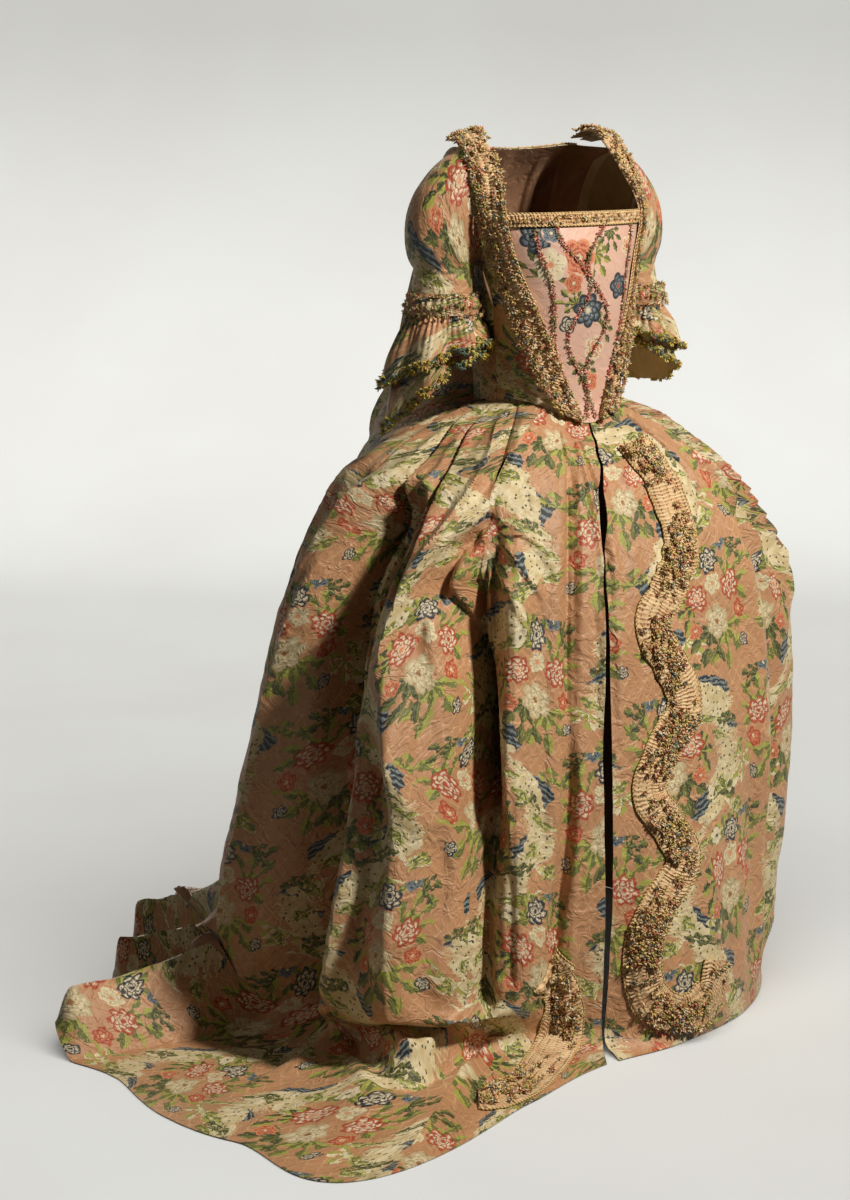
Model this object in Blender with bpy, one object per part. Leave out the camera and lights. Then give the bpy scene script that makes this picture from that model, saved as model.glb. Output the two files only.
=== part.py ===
"""Robe a la francaise: a sack-back gown worn over side hoops, with stomacher, robings, double
sleeve flounces and serpentine trimming. Every cloth piece is a thin closed wall of its own.

Metres, +Z up. The wearer faces -Y and +X is the wearer's left. Heights in the tables are above
the floor; the origin is where the shoulders carry the gown, SHOULDER_HEIGHT above the floor.
"""

from collections import namedtuple

import bpy
import numpy as np

# ---------------------------------------------------------------- driving dimensions (metres)
SHOULDER_HEIGHT = 1.365
CLOTH = 0.0020  # wall of the lined silk
EASED_FOLD, EASING_ROUNDS = 0.35, 12
SHARPEST_FOLD = 0.6  # cosine between a fold's faces and their mean, at which the wall stops growing
SEAM_GAP = 0.0008  # between two pieces that are sewn edge to edge
SIDE_GAP = 0.0008  # from the side panels to the sack back above the waist
LIFT = 0.0031  # how far the middle of a piece lies above the middle of the cloth under it
FLOOR_CLEAR = 0.0010  # middle of the lowest cloth above the floor: half a wall

DIRECTION_STEP = 30.0  # degrees between the columns of SKIRT_RINGS, from front to the wearer's left

# Radius of the gown from the body's axis, by direction, at each height of the skirt.
Ring = namedtuple(
    "Ring",
    "name height front_dip front front_left left_front left left_back back_left "
    "back back_right right_back right right_front front_right",
)
SKIRT_RINGS = (
    Ring("waist", 0.955, 0.035, 0.120, 0.117, 0.113, 0.114, 0.114, 0.264, 0.244, 0.268, 0.114, 0.114, 0.113, 0.117),
    Ring("yoke", 0.930, 0.028, 0.134, 0.144, 0.160, 0.172, 0.166, 0.276, 0.256, 0.284, 0.172, 0.178, 0.166, 0.146),
    Ring("hip_top", 0.885, 0.012, 0.168, 0.190, 0.230, 0.258, 0.252, 0.296, 0.274, 0.302, 0.262, 0.262, 0.240, 0.194),
    Ring("hip", 0.820, 0.0, 0.212, 0.240, 0.300, 0.342, 0.325, 0.316, 0.295, 0.306, 0.312, 0.338, 0.318, 0.246),
    Ring("hoop", 0.680, 0.0, 0.266, 0.298, 0.366, 0.408, 0.395, 0.366, 0.348, 0.350, 0.372, 0.404, 0.386, 0.306),
    Ring("knee", 0.440, 0.0, 0.312, 0.332, 0.382, 0.422, 0.430, 0.420, 0.415, 0.425, 0.432, 0.444, 0.430, 0.350),
    Ring("shin", 0.220, 0.0, 0.340, 0.344, 0.370, 0.408, 0.440, 0.470, 0.490, 0.490, 0.484, 0.490, 0.486, 0.360),
    Ring("ankle", 0.095, 0.0, 0.350, 0.350, 0.362, 0.398, 0.448, 0.515, 0.575, 0.540, 0.500, 0.498, 0.492, 0.352),
    Ring("floor", 0.022, 0.0, 0.357, 0.352, 0.362, 0.396, 0.465, 0.570, 0.655, 0.595, 0.535, 0.505, 0.470, 0.345),
    Ring("hem", 0.0, 0.0, 0.361, 0.352, 0.366, 0.410, 0.485, 0.630, 0.800, 0.700, 0.675, 0.770, 0.800, 0.440),
)
LAST = len(SKIRT_RINGS) - 1
# Blunt corners that the hem is pulled out to on the wearer's right.
HemCorner = namedtuple("HemCorner", "name direction half_width reach")
HEM_CORNERS = (HemCorner("front", -52.5, 15.0, 0.120), HemCorner("back", -101.0, 13.0, 0.060))
DIP_HALF_WIDTH = 48.0  # degrees either side of the centre front over which the waist dips
WAIST_GAP = 0.0048  # from the top of the skirt to the foot of the bodice

# The seams of the skirt: direction at the waist, at the hip and at the hem, on the wearer's left.
OPENING = ((0.0, 0.0), (1.0, -1.0), (2.0, -6.0), (3.0, -12.0), (4.0, -16.5), (5.0, -18.6), (9.0, -19.6))  # drifts to the wearer's right
OPENING_WIDTHS = ((0.0, 0.004), (2.0, 0.006), (5.0, 0.016), (7.0, 0.008), (8.0, 0.004), (9.0, 0.022))
POCKET_SEAM = ((0.0, 38.0), (2.4, 52.0), (5.0, 50.0), (9.0, 50.0))
BACK_SEAM = ((0.0, 120.0), (3.0, 128.0), (6.0, 136.0), (9.0, 140.5))
POCKET_TOP, POCKET_FOOT, POCKET_WIDTH = 1.75, 2.75, 0.007

# Large folds of the skirt. Levels count the rings; directions are degrees from the centre front,
# positive towards the wearer's left; depth is outwards, and upwards where the cloth lies.
Fold = namedtuple("Fold", "name top foot top_deg mid_deg foot_deg half_width depth")
SKIRT_FOLDS = (
    Fold("right_drawn_point", 2.7, 4.1, -50, -50, -50, 4.5, -0.024),
    Fold("right_front_crease", 1.5, 8.2, -21, -30, -33, 4.0, -0.012),
    Fold("right_front_ridge", 2.8, 7.8, -44, -41, -41, 6.5, 0.026),
    Fold("right_edge_hollow", 3.2, 7.4, -51, -48, -50, 5.5, -0.060),
    Fold("right_swag", 2.6, 5.6, -50, -65, -50, 6.0, 0.036),
    Fold("right_pouf", 3.7, 8.7, -62, -60, -59, 14.0, 0.060),
    Fold("right_pouf_edge", 2.4, 8.5, -67, -71, -77, 6.5, 0.034),
    Fold("right_deep_hollow", 2.5, 9.6, -74, -84, -89, 12.5, -0.120),
    Fold("right_side_ridge", 1.8, 8.7, -82, -101, -104, 8.0, 0.040),
    Fold("right_back_hollow", 2.2, 8.2, -94, -112, -117, 5.5, -0.030),
    Fold("right_back_ridge", 1.8, 8.0, -104, -121, -128, 7.5, 0.026),
    Fold("front_soft_left", 4.0, 8.4, 16, 12, 8, 9.0, 0.008),
    Fold("left_drawn_point", 2.7, 4.1, 50, 50, 50, 6.0, -0.018),
    Fold("left_front_edge", 3.2, 8.6, 43, 42, 41, 6.0, 0.012),
    Fold("left_edge_hollow", 3.4, 8.4, 52, 53, 52, 5.0, -0.024),
    Fold("left_pouf", 3.4, 8.6, 64, 63, 61, 10.0, 0.026),
    Fold("left_side_hollow", 3.0, 8.6, 76, 77, 77, 6.5, -0.036),
    Fold("left_side_ridge", 2.4, 8.8, 86, 88, 89, 8.0, 0.024),
    Fold("left_back_hollow", 2.6, 8.6, 97, 101, 103, 6.5, -0.036),
    Fold("left_back_ridge", 2.2, 8.8, 108, 113, 116, 8.0, 0.028),
    Fold("train_ridge_near", 6.6, 11.0, -104, -101, -97, 9.0, 0.095),
    Fold("train_ridge_second", 6.2, 11.0, -118, -117, -114, 7.5, 0.100),
    Fold("train_ridge_third", 6.2, 11.0, -136, -134, -131, 8.5, 0.098),
    Fold("train_ridge_last", 7.4, 11.0, -154, -152, -150, 10.0, 0.060),
)
# Knife pleats that take the side skirts into the waist on each side.
PLEATS_A_SIDE = 6
PLEAT_FROM, PLEAT_TO = 44.0, 116.0
PLEAT_DEPTH = 0.007
PLEAT_FOOT = 3.2

# The fitted body under the bodice: superellipse sections round the body's axis.
Section = namedtuple("Section", "height half_width front back")
TORSO = (
    Section(0.900, 0.113, 0.128, 0.080),
    Section(0.920, 0.113, 0.121, 0.080),
    Section(0.955, 0.113, 0.112, 0.080),
    Section(1.010, 0.115, 0.112, 0.085),
    Section(1.080, 0.119, 0.118, 0.092),
    Section(1.150, 0.125, 0.122, 0.098),
    Section(1.200, 0.140, 0.118, 0.098),
    Section(1.250, 0.156, 0.102, 0.095),
)
TORSO_POWER = 2.4

# The sleeve turns from the tilted armhole to a level ring about a line under the arm.
ARM_PIVOT = (0.1205, 0.022, 1.158)
ARM_PIVOT_GAP = 0.0065
ARMHOLE_TILT = 78.0
ARMHOLE_HALF_HEIGHT, ARMHOLE_HALF_DEPTH = 0.084, 0.056
SLEEVE_HALF_WIDTH, SLEEVE_HALF_DEPTH = 0.046, 0.046
SLEEVE_TURN = 0.45  # share of the sleeve's rows that turn
SLEEVE_END = 1.0887
ARMHOLE_EASE = 0.0046  # from the sleeve's first ring out to the edge of the bodice
SLEEVE_CLEAR = 0.0020  # sideways, from the bodice's armhole to the sleeve
SLEEVE_FORWARD, SLEEVE_OUT = -0.006, 0.004  # where the elbow lies from the armhole

# Front edge of the gown: where the robing's inner edge runs, and over the shoulder to the neck.
EdgeRow = namedtuple("EdgeRow", "name height inner_x")
FRONT_ROWS = (
    EdgeRow("point", 0.9215, 0.016),
    EdgeRow("waist", 0.965, 0.036),
    EdgeRow("ribs", 1.040, 0.062),
    EdgeRow("under_bust", 1.110, 0.086),
    EdgeRow("bust", 1.175, 0.109),
    EdgeRow("neckline", 1.240, 0.124),
)
ROBING_WIDTHS = (0.036, 0.044, 0.047, 0.047, 0.042, 0.036)
Strap = namedtuple("Strap", "name inner_x inner_y inner_z outer_x outer_y outer_z")
STRAP_ROWS = (
    Strap("rise", 0.114, -0.036, 1.302, 0.1475, -0.022, 1.292),
    Strap("crest", 0.106, 0.022, 1.356, 0.1475, 0.022, 1.342),
    Strap("back", 0.095, 0.062, 1.3455, 0.132, 0.058, 1.3430),
)
SIDE_SEAM = 76.0  # direction of the seam under the arm
ARMHOLE_FRONT = (25.0, 58.0, 92.0, 132.0, 172.0)  # round the armhole from its foot to its top
FRONT_EDGE, FRONT_STRAP_EDGE = 1.97, 1.0  # across the half front: 1 is the robing's outer edge, 2 the armhole
FRONT_NARROWS = (4.1, 5.1)

# The loose sack back above the waist, from the neck down: points on the wearer's left.
SackRow = namedtuple(
    "SackRow", "name height armhole side_x side_y corner_x corner_y inner_x inner_y centre_y"
)
SACK_ROWS = (
    SackRow("neck", 1.338, 172.0, 0.128, 0.062, 0.094, 0.070, 0.050, 0.082, 0.088),
    SackRow("shoulder", 1.290, 134.0, 0.134, 0.096, 0.100, 0.118, 0.052, 0.124, 0.124),
    SackRow("blade", 1.220, 92.0, 0.136, 0.112, 0.110, 0.150, 0.056, 0.158, 0.154),
    SackRow("underarm", 1.155, 50.0, 0.132, 0.110, 0.120, 0.172, 0.060, 0.180, 0.174),
    SackRow("back", 1.080, 0.0, 0.126, 0.108, 0.128, 0.192, 0.064, 0.200, 0.192),
    SackRow("small", 1.010, 0.0, 0.122, 0.102, 0.132, 0.208, 0.068, 0.214, 0.208),
)
SACK_COLUMNS = (0.0, 0.28, 0.52, 0.78, 1.0)  # share from the side edge to the middle of the back
# Two double box pleats: shares across half the back where each raised face starts and ends.
BoxPleat = namedtuple("BoxPleat", "name start end")
BOX_PLEATS = (BoxPleat("outer", 0.48, 0.66), BoxPleat("inner", 0.74, 0.95))
BOX_EDGE = 0.035
BOX_DEPTHS = ((-6.0, 0.004), (-3.0, 0.010), (0.0, 0.014), (3.0, 0.022), (6.0, 0.034), (8.0, 0.026), (9.0, 0.012))

# Flounces at the elbow.
Flounce = namedtuple("Flounce", "name start radius short long flare")
FLOUNCES = (
    Flounce("lower", 1.0894, 0.0420, 0.066, 0.198, 0.36),
    Flounce("upper", 1.092, 0.0488, 0.050, 0.123, 0.56),
)
FLOUNCE_BODY_GAPS = (0.0100, 0.0062)
FLOUNCE_WAVES = 7
FLOUNCE_WAVE_DEPTH = 0.0070
FLOUNCE_LONG_DIRECTION = 128.0  # the drop is longest behind the elbow and outwards
FLOUNCE_SCALLOP = 0.005

# Serpentine trimming: points on the skirt by direction and ring level.
TrimPoint = namedtuple("TrimPoint", "degrees level")
TRIM_LEFT = (
    TrimPoint(20, 1.6), TrimPoint(19.5, 3.0), TrimPoint(18, 3.6), TrimPoint(9, 3.95), TrimPoint(0, 4.2),
    TrimPoint(5, 4.45), TrimPoint(9, 4.7), TrimPoint(-0.5, 4.95), TrimPoint(-6, 5.2), TrimPoint(0, 5.45),
    TrimPoint(4, 5.7), TrimPoint(-5.5, 6.05), TrimPoint(-9.5, 6.5), TrimPoint(-7.5, 7.2),
    TrimPoint(1, 7.65), TrimPoint(10, 7.5), TrimPoint(13, 6.8),
)
TRIM_RIGHT = (
    TrimPoint(-34, 6.5), TrimPoint(-31, 6.9), TrimPoint(-30, 7.4), TrimPoint(-32, 8.05), TrimPoint(-36, 8.35),
    TrimPoint(-40, 8.45),
)
TRIM_HALF_WIDTH = 0.030
TRIM_LIFT = {-1: 0.0048, 1: 0.0056}
TRIM_WALL = 0.0035
RUCHES_LEFT, RUCHES_RIGHT = 24, 6  # gathers across each serpentine trim
RUCHE_DEPTH = 0.0016

FRINGE_LOCKS = 14
FRINGE_STRIP, FRINGE_LOCK = 0.004, 0.013
FRINGE_LIFT = 0.0037

MATERIALS = {
    "brocade": ((0.56, 0.35, 0.24, 1.0), 0.55),
    "stomacher_silk": ((0.74, 0.48, 0.40, 1.0), 0.50),
    "trimming": ((0.50, 0.36, 0.20, 1.0), 0.70),
    "fly_fringe": ((0.55, 0.48, 0.14, 1.0), 0.80),
}


# ---------------------------------------------------------------- curves and fields
def catmull(values, at):
    """Catmull-Rom curve through rows of values, read at fractional row numbers."""
    values = np.asarray(values, float)
    at = np.clip(np.asarray(at, float), 0.0, len(values) - 1.0)
    k = np.minimum(at.astype(int), len(values) - 2)
    t = (at - k).reshape(at.shape + (1,) * (values.ndim - 1))
    before, after = np.maximum(k - 1, 0), np.minimum(k + 2, len(values) - 1)
    p0, p1, p2, p3 = values[before], values[k], values[k + 1], values[after]
    return 0.5 * (
        2 * p1 + (p2 - p0) * t + (2 * p0 - 5 * p1 + 4 * p2 - p3) * t**2 + (3 * p1 - p0 - 3 * p2 + p3) * t**3
    )


def smooth(x, low, high):
    """Rises smoothly from 0 at low to 1 at high."""
    t = np.clip((x - low) / (high - low), 0.0, 1.0)
    return t * t * (3 - 2 * t)


def bump(x):
    """A rounded ridge: 1 at 0, and 0 from 1 outwards."""
    return 0.5 + 0.5 * np.cos(np.pi * np.clip(x, -1.0, 1.0))


def stepped(table, level):
    """Smoothly joined values of a table of (level, value) pairs."""
    levels, values = zip(*table)
    k = np.clip(np.searchsorted(levels, level, side="right") - 1, 0, len(levels) - 2)
    low, high = np.asarray(levels)[k], np.asarray(levels)[k + 1]
    share = smooth(level, low, high)
    return np.asarray(values)[k] * (1 - share) + np.asarray(values)[k + 1] * share


def wrapped(degrees):
    """Directions brought to between -180 and 180 degrees."""
    return (degrees + 180.0) % 360.0 - 180.0


def polar(radius, degrees, height):
    """Points round the body's axis: 0 degrees is the front, -Y, and 90 the wearer's left, +X."""
    a = np.radians(degrees)
    return np.stack([radius * np.sin(a), -radius * np.cos(a), height + 0 * a], -1)


RING_RADII = np.array([ring[3:] for ring in SKIRT_RINGS])
RING_HEIGHTS = np.array([ring.height for ring in SKIRT_RINGS])
RING_DIPS = np.array([ring.front_dip for ring in SKIRT_RINGS])


def ring_radius(degrees, level):
    """Radius of the skirt: a periodic curve through a ring's columns, and a curve down the rings."""
    column = (degrees % 360.0) / DIRECTION_STEP
    columns = RING_RADII.shape[1]
    k = column.astype(int)
    t = column - k
    p0, p1, p2, p3 = (RING_RADII[:, (k + step) % columns] for step in (-1, 0, 1, 2))
    rows = 0.5 * (
        2 * p1 + (p2 - p0) * t + (2 * p0 - 5 * p1 + 4 * p2 - p3) * t**2 + (3 * p1 - p0 - 3 * p2 + p3) * t**3
    )
    flat = rows.reshape(len(rows), -1)
    at = level.reshape(-1)
    k = np.minimum(at.astype(int), LAST - 1)
    t = at - k
    here = np.arange(at.size)
    p0, p1 = flat[np.maximum(k - 1, 0), here], flat[k, here]
    p2, p3 = flat[k + 1, here], flat[np.minimum(k + 2, LAST), here]
    radius = 0.5 * (
        2 * p1 + (p2 - p0) * t + (2 * p0 - 5 * p1 + 4 * p2 - p3) * t**2 + (3 * p1 - p0 - 3 * p2 + p3) * t**3
    )
    radius = radius.reshape(degrees.shape)
    for corner in HEM_CORNERS:
        reach = corner.reach * bump(wrapped(degrees - corner.direction) / corner.half_width)
        radius = radius + reach * smooth(level, LAST - 1, LAST)
    return radius


def fold_depth(degrees, level):
    """Sum of the large folds: each runs along a curved line of directions and fades at its ends."""
    depth = np.zeros_like(degrees)
    for fold in SKIRT_FOLDS:
        share = np.clip((level - fold.top) / (fold.foot - fold.top), 0.0, 1.0)
        middle = (
            fold.top_deg * (1 - share) * (1 - 2 * share)
            + fold.mid_deg * 4 * share * (1 - share)
            + fold.foot_deg * share * (2 * share - 1)
        )
        window = smooth(level, fold.top, fold.top + 1.1) * (1 - smooth(level, fold.foot - 0.8, fold.foot))
        depth += fold.depth * window * bump(wrapped(degrees - middle) / fold.half_width)
    return depth


def pleat_depth(degrees, level):
    """Knife pleats at the waist of the side skirts, fading out over the hip."""
    away = np.abs(wrapped(degrees))
    share = (away - PLEAT_FROM) / (PLEAT_TO - PLEAT_FROM)
    inside = smooth(share, 0.0, 0.06) * (1 - smooth(share, 0.94, 1.0))
    wave = np.sin(2 * np.pi * PLEATS_A_SIDE * share)
    return PLEAT_DEPTH * wave * inside * smooth(level, 0.25, 1.0) * (1 - smooth(level, 1.6, PLEAT_FOOT))


def sack_share(degrees, level):
    """How far across half the sack back a direction lies: 0 at its seam, 1 at the middle."""
    seam = stepped(BACK_SEAM, np.clip(level, 0.0, LAST))
    return np.clip((np.abs(wrapped(degrees)) - seam) / (180.0 - seam), 0.0, 1.0)


def box_pleats(share, level):
    """Raised faces of the double box pleats across half the back."""
    raised = np.zeros_like(share)
    for pleat in BOX_PLEATS:
        raised += smooth(share, pleat.start - BOX_EDGE, pleat.start + BOX_EDGE)
        raised -= smooth(share, pleat.end - BOX_EDGE, pleat.end + BOX_EDGE)
    faded = smooth(share, 0.0, 0.2)
    return (raised - 0.45 * faded) * stepped(BOX_DEPTHS, level)


def skirt(degrees, level):
    """The skirt's cloth: direction and ring level to a point. Folds push it outwards where it hangs
    and upwards where it lies on the floor."""
    degrees, level = np.broadcast_arrays(np.asarray(degrees, float), np.asarray(level, float))
    radius = ring_radius(degrees, level)
    dip = bump(wrapped(degrees) / DIP_HALF_WIDTH)
    height = catmull(RING_HEIGHTS, level) - catmull(RING_DIPS, level) * dip
    push = fold_depth(degrees, level) + pleat_depth(degrees, level)
    push = push + box_pleats(sack_share(degrees, level), level)
    lying = np.radians(82.0) * smooth(level, 6.6, 8.3)
    radius = radius + push * np.cos(lying)
    height = np.maximum(height, 0.0) + np.maximum(push, -0.012) * np.sin(lying)
    return polar(radius, degrees, np.maximum(height, FLOOR_CLEAR))


def opening(level):
    """Direction of the front opening's middle."""
    return stepped(OPENING, level)


def torso_radius(degrees, height):
    """Superellipse section of the fitted body."""
    heights = [s.height for s in TORSO]
    half_width, front, back = (
        np.interp(height, heights, [getattr(s, side) for s in TORSO]) for side in ("half_width", "front", "back")
    )
    a = np.radians(degrees)
    depth = np.where(np.cos(a) > 0, front, back)
    return (
        (np.abs(np.sin(a)) / half_width) ** TORSO_POWER + (np.abs(np.cos(a)) / depth) ** TORSO_POWER
    ) ** (-1 / TORSO_POWER)


def torso(degrees, height):
    return polar(torso_radius(degrees, height), degrees, np.asarray(height, float))


def torso_direction(x, height):
    """Direction at which the front of the torso lies x to the side."""
    tries = np.linspace(0.0, 89.0, 179)
    found = torso(tries, np.full_like(tries, height))[:, 0]
    return float(np.interp(x, found, tries))


def sleeve(turn, around):
    """The wearer's left sleeve. turn 0 is the armhole and 1 the elbow; around is degrees from the
    underarm over the front to the shoulder and back."""
    turn, around = np.broadcast_arrays(np.asarray(turn, float), np.asarray(around, float))
    bend = smooth(turn, 0.0, SLEEVE_TURN)
    tilt = np.radians(ARMHOLE_TILT) * (1 - bend)
    length = ARMHOLE_HALF_HEIGHT + (SLEEVE_HALF_WIDTH - ARMHOLE_HALF_HEIGHT) * bend
    depth = ARMHOLE_HALF_DEPTH + (SLEEVE_HALF_DEPTH - ARMHOLE_HALF_DEPTH) * bend
    a = np.radians(around)
    reach = ARM_PIVOT_GAP + length * (1 - np.cos(a))
    down = np.clip((turn - SLEEVE_TURN) / (1 - SLEEVE_TURN), 0.0, 1.0)
    x = ARM_PIVOT[0] + reach * np.cos(tilt) + SLEEVE_OUT * down
    y = ARM_PIVOT[1] - depth * np.sin(a) + SLEEVE_FORWARD * down
    z = ARM_PIVOT[2] + reach * np.sin(tilt) - down * (ARM_PIVOT[2] - SLEEVE_END)
    return np.stack([x, y, z], -1)


def armhole(around):
    """Edge of the bodice round the sleeve: the sleeve's first ring, grown in its own plane."""
    a, tilt = np.radians(np.asarray(around, float)), np.radians(ARMHOLE_TILT)
    reach = ARM_PIVOT_GAP - ARMHOLE_EASE + (ARMHOLE_HALF_HEIGHT + ARMHOLE_EASE) * (1 - np.cos(a))
    y = ARM_PIVOT[1] - (ARMHOLE_HALF_DEPTH + ARMHOLE_EASE) * np.sin(a)
    return np.stack([ARM_PIVOT[0] + reach * np.cos(tilt), y, ARM_PIVOT[2] + reach * np.sin(tilt)], -1)


def elbow(height):
    """Middle of the sleeve's lower end."""
    x = ARM_PIVOT[0] + ARM_PIVOT_GAP + SLEEVE_HALF_WIDTH + SLEEVE_OUT + SLEEVE_CLEAR
    return np.array([x, ARM_PIVOT[1] + SLEEVE_FORWARD, height])


def clear_of_body(x, height, gap):
    """Keeps what hangs round the arm outside the bodice by a gap."""
    limit = np.interp(height, [s.height for s in TORSO], [s.half_width for s in TORSO]) + gap
    return limit + 0.5 * (x - limit + np.sqrt((x - limit) ** 2 + 0.003**2))


def waistline(degrees):
    """Height of the seam between bodice and skirt."""
    ring = SKIRT_RINGS[0]
    return ring.height - ring.front_dip * bump(wrapped(degrees) / DIP_HALF_WIDTH)


def front_rows():
    """Rows of five points across the half front: robing edge, robing middle, robing's outer edge,
    bodice middle, side seam or armhole. Below the underarm they close down to the waist's dip."""
    rows = []
    underarm = len(FRONT_ROWS) - 3
    for k, (row, width) in enumerate(zip(FRONT_ROWS, ROBING_WIDTHS)):
        inner = torso_direction(row.inner_x, row.height)
        outer = inner + np.degrees(width / torso_radius(inner, row.height))
        across = np.array([inner, (inner + outer) / 2, outer, (outer + SIDE_SEAM) / 2, SIDE_SEAM])
        share = (FRONT_ROWS[underarm].height - row.height) / (FRONT_ROWS[underarm].height - FRONT_ROWS[0].height)
        drop = waistline(across) + WAIST_GAP - FRONT_ROWS[0].height
        points = torso(across, row.height + max(share, 0.0) * drop)
        if k > underarm:
            points[4] = armhole(ARMHOLE_FRONT[k - underarm - 1])
            points[3] = (points[2] + points[4]) / 2
        rows.append(points)
    for k, row in enumerate(STRAP_ROWS):
        edge = np.array([row.inner_x, row.inner_y, row.inner_z])
        third = np.array([row.outer_x, row.outer_y, row.outer_z])
        last = armhole(ARMHOLE_FRONT[min(k + 2, len(ARMHOLE_FRONT) - 1)])
        middle = (edge + third) / 2 + np.array([0.0, -0.002, 0.002])
        rows.append([edge, middle, third, (third + last) / 2, last])
    return np.array([np.array(row) for row in rows])


FRONT_GRID = front_rows()
STRAP_END = len(FRONT_GRID) - 1.0


def half_front(row, across):
    """The wearer's left front from waist to shoulder: row counts FRONT_ROWS then STRAP_ROWS, and
    across runs 0 to 1 over the robing and 1 to 2 over the bodice."""
    row, across = np.broadcast_arrays(np.asarray(row, float), np.asarray(across, float))
    rows = catmull(FRONT_GRID, row)
    columns = np.moveaxis(rows, -2, 0)
    at = np.clip(across * 2.0, 0.0, 4.0)
    k = np.minimum(at.astype(int), 3)
    t = (at - k)[..., None]

    def column(index):
        return np.take_along_axis(columns, index[None, ..., None], 0)[0]

    p0, p1 = column(np.maximum(k - 1, 0)), column(k)
    p2, p3 = column(k + 1), column(np.minimum(k + 2, 4))
    return 0.5 * (
        2 * p1 + (p2 - p0) * t + (2 * p0 - 5 * p1 + 4 * p2 - p3) * t**2 + (3 * p1 - p0 - 3 * p2 + p3) * t**3
    )


def sack_rows():
    """Rows of five points across half the sack back, from the neck to just under the waist."""
    rows = []
    for row in SACK_ROWS:
        edge = armhole(-row.armhole) if row.armhole else torso(BACK_SEAM[0][1], row.height)
        rows.append(
            [
                edge,
                [row.side_x, row.side_y, (edge[2] + row.height) / 2 if row.armhole else row.height],
                [row.corner_x, row.corner_y, row.height],
                [row.inner_x, row.inner_y, row.height - 0.004],
                [0.0, row.centre_y, row.height - 0.006],
            ]
        )
    shares = np.array(SACK_COLUMNS)
    for level in (0.0, 1.0):
        seam = stepped(BACK_SEAM, np.full(1, level))
        radius = ring_radius(seam + (180.0 - seam) * shares, np.full(len(shares), level))
        rows.append(polar(radius, seam + (180.0 - seam) * shares, RING_HEIGHTS[int(level)]))
    return np.array([np.array(row) for row in rows])


SACK_GRID = sack_rows()
SACK_UPPER = len(SACK_ROWS)


def sack(share, level):
    """The sack back: share is -1 at its right seam, 0 in the middle and 1 at its left seam. Level is
    the skirt's, and below zero it climbs SACK_ROWS to the neck."""
    share, level = np.broadcast_arrays(np.asarray(share, float), np.asarray(level, float))
    inward = 1.0 - np.abs(share)
    seam = stepped(BACK_SEAM, np.clip(level, 0.0, LAST))
    degrees = np.where(share < 0, -1.0, 1.0) * (seam + (180.0 - seam) * inward)
    lower = skirt(degrees, np.clip(level, 0.0, LAST))
    rows = catmull(SACK_GRID, np.clip(level, -SACK_UPPER, 0.0) + SACK_UPPER)
    column = np.interp(inward, SACK_COLUMNS, np.arange(len(SACK_COLUMNS)))
    at = column
    k = np.minimum(at.astype(int), len(SACK_COLUMNS) - 2)
    t = (at - k)[..., None]
    columns = np.moveaxis(rows, -2, 0)

    def pick(index):
        return np.take_along_axis(columns, index[None, ..., None], 0)[0]

    p0, p1, p2 = pick(np.maximum(k - 1, 0)), pick(k), pick(k + 1)
    p3 = pick(np.minimum(k + 2, len(SACK_COLUMNS) - 1))
    upper = 0.5 * (
        2 * p1 + (p2 - p0) * t + (2 * p0 - 5 * p1 + 4 * p2 - p3) * t**2 + (3 * p1 - p0 - 3 * p2 + p3) * t**3
    )
    out = upper.copy()
    out[..., 2] = 0.0
    out = out / np.maximum(np.linalg.norm(out, axis=-1, keepdims=True), 1e-9)
    upper = upper + out * box_pleats(inward, level)[..., None] * smooth(level, -6.0, -5.0)[..., None]
    upper[..., 0] *= np.where(share < 0, -1.0, 1.0)
    return np.where((level < 0)[..., None], upper, lower)


# ---------------------------------------------------------------- walls
def normals(surface, first, second, step=(0.02, 0.02)):
    """Unit normals of a surface of two parameters, by central differences."""
    along = surface(first + step[0], second) - surface(first - step[0], second)
    across = surface(first, second + step[1]) - surface(first, second - step[1])
    n = np.cross(along, across)
    return n / np.maximum(np.linalg.norm(n, axis=-1, keepdims=True), 1e-12)


def grid_faces(rows, columns, closed):
    """Corner numbers of the quads of a grid."""
    r = np.arange(rows - 1)[:, None]
    c = np.arange(columns if closed else columns - 1)[None, :]
    following = (c + 1) % columns
    quads = np.stack([r * columns + c, r * columns + following, (r + 1) * columns + following, (r + 1) * columns + c])
    return quads.reshape(4, -1).T


def split_evenly(points, quads):
    """Two triangles for each quad, along its shorter diagonal. Both skins of a wall use the same ones,
    so that they stay parallel where the cloth twists."""
    a, b, c, d = quads.T
    across = np.linalg.norm(points[a] - points[c], axis=1) <= np.linalg.norm(points[b] - points[d], axis=1)
    first = np.where(across[:, None], np.stack([a, b, c], 1), np.stack([a, b, d], 1))
    second = np.where(across[:, None], np.stack([a, c, d], 1), np.stack([b, c, d], 1))
    return np.concatenate([first, second])


def eased(middle):
    """The grid with its sharpest inner folds opened a little, so that a wall there can't cut into
    itself. Its edges stay where they are."""
    rows, columns = middle.shape[:2]
    middle = middle.copy()
    for _ in range(EASING_ROUNDS):
        points = middle.reshape(-1, 3)
        skin = split_evenly(points, grid_faces(rows, columns, False))
        least = fold_cosines(points, skin)[1].reshape(rows, columns)
        sharp = least[1:-1, 1:-1] < EASED_FOLD
        if not sharp.any():
            break
        around = (middle[:-2, 1:-1] + middle[2:, 1:-1] + middle[1:-1, :-2] + middle[1:-1, 2:]) / 4
        inner = middle[1:-1, 1:-1]
        middle[1:-1, 1:-1] = np.where(sharp[..., None], 0.5 * inner + 0.5 * around, inner)
    return middle


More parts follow.
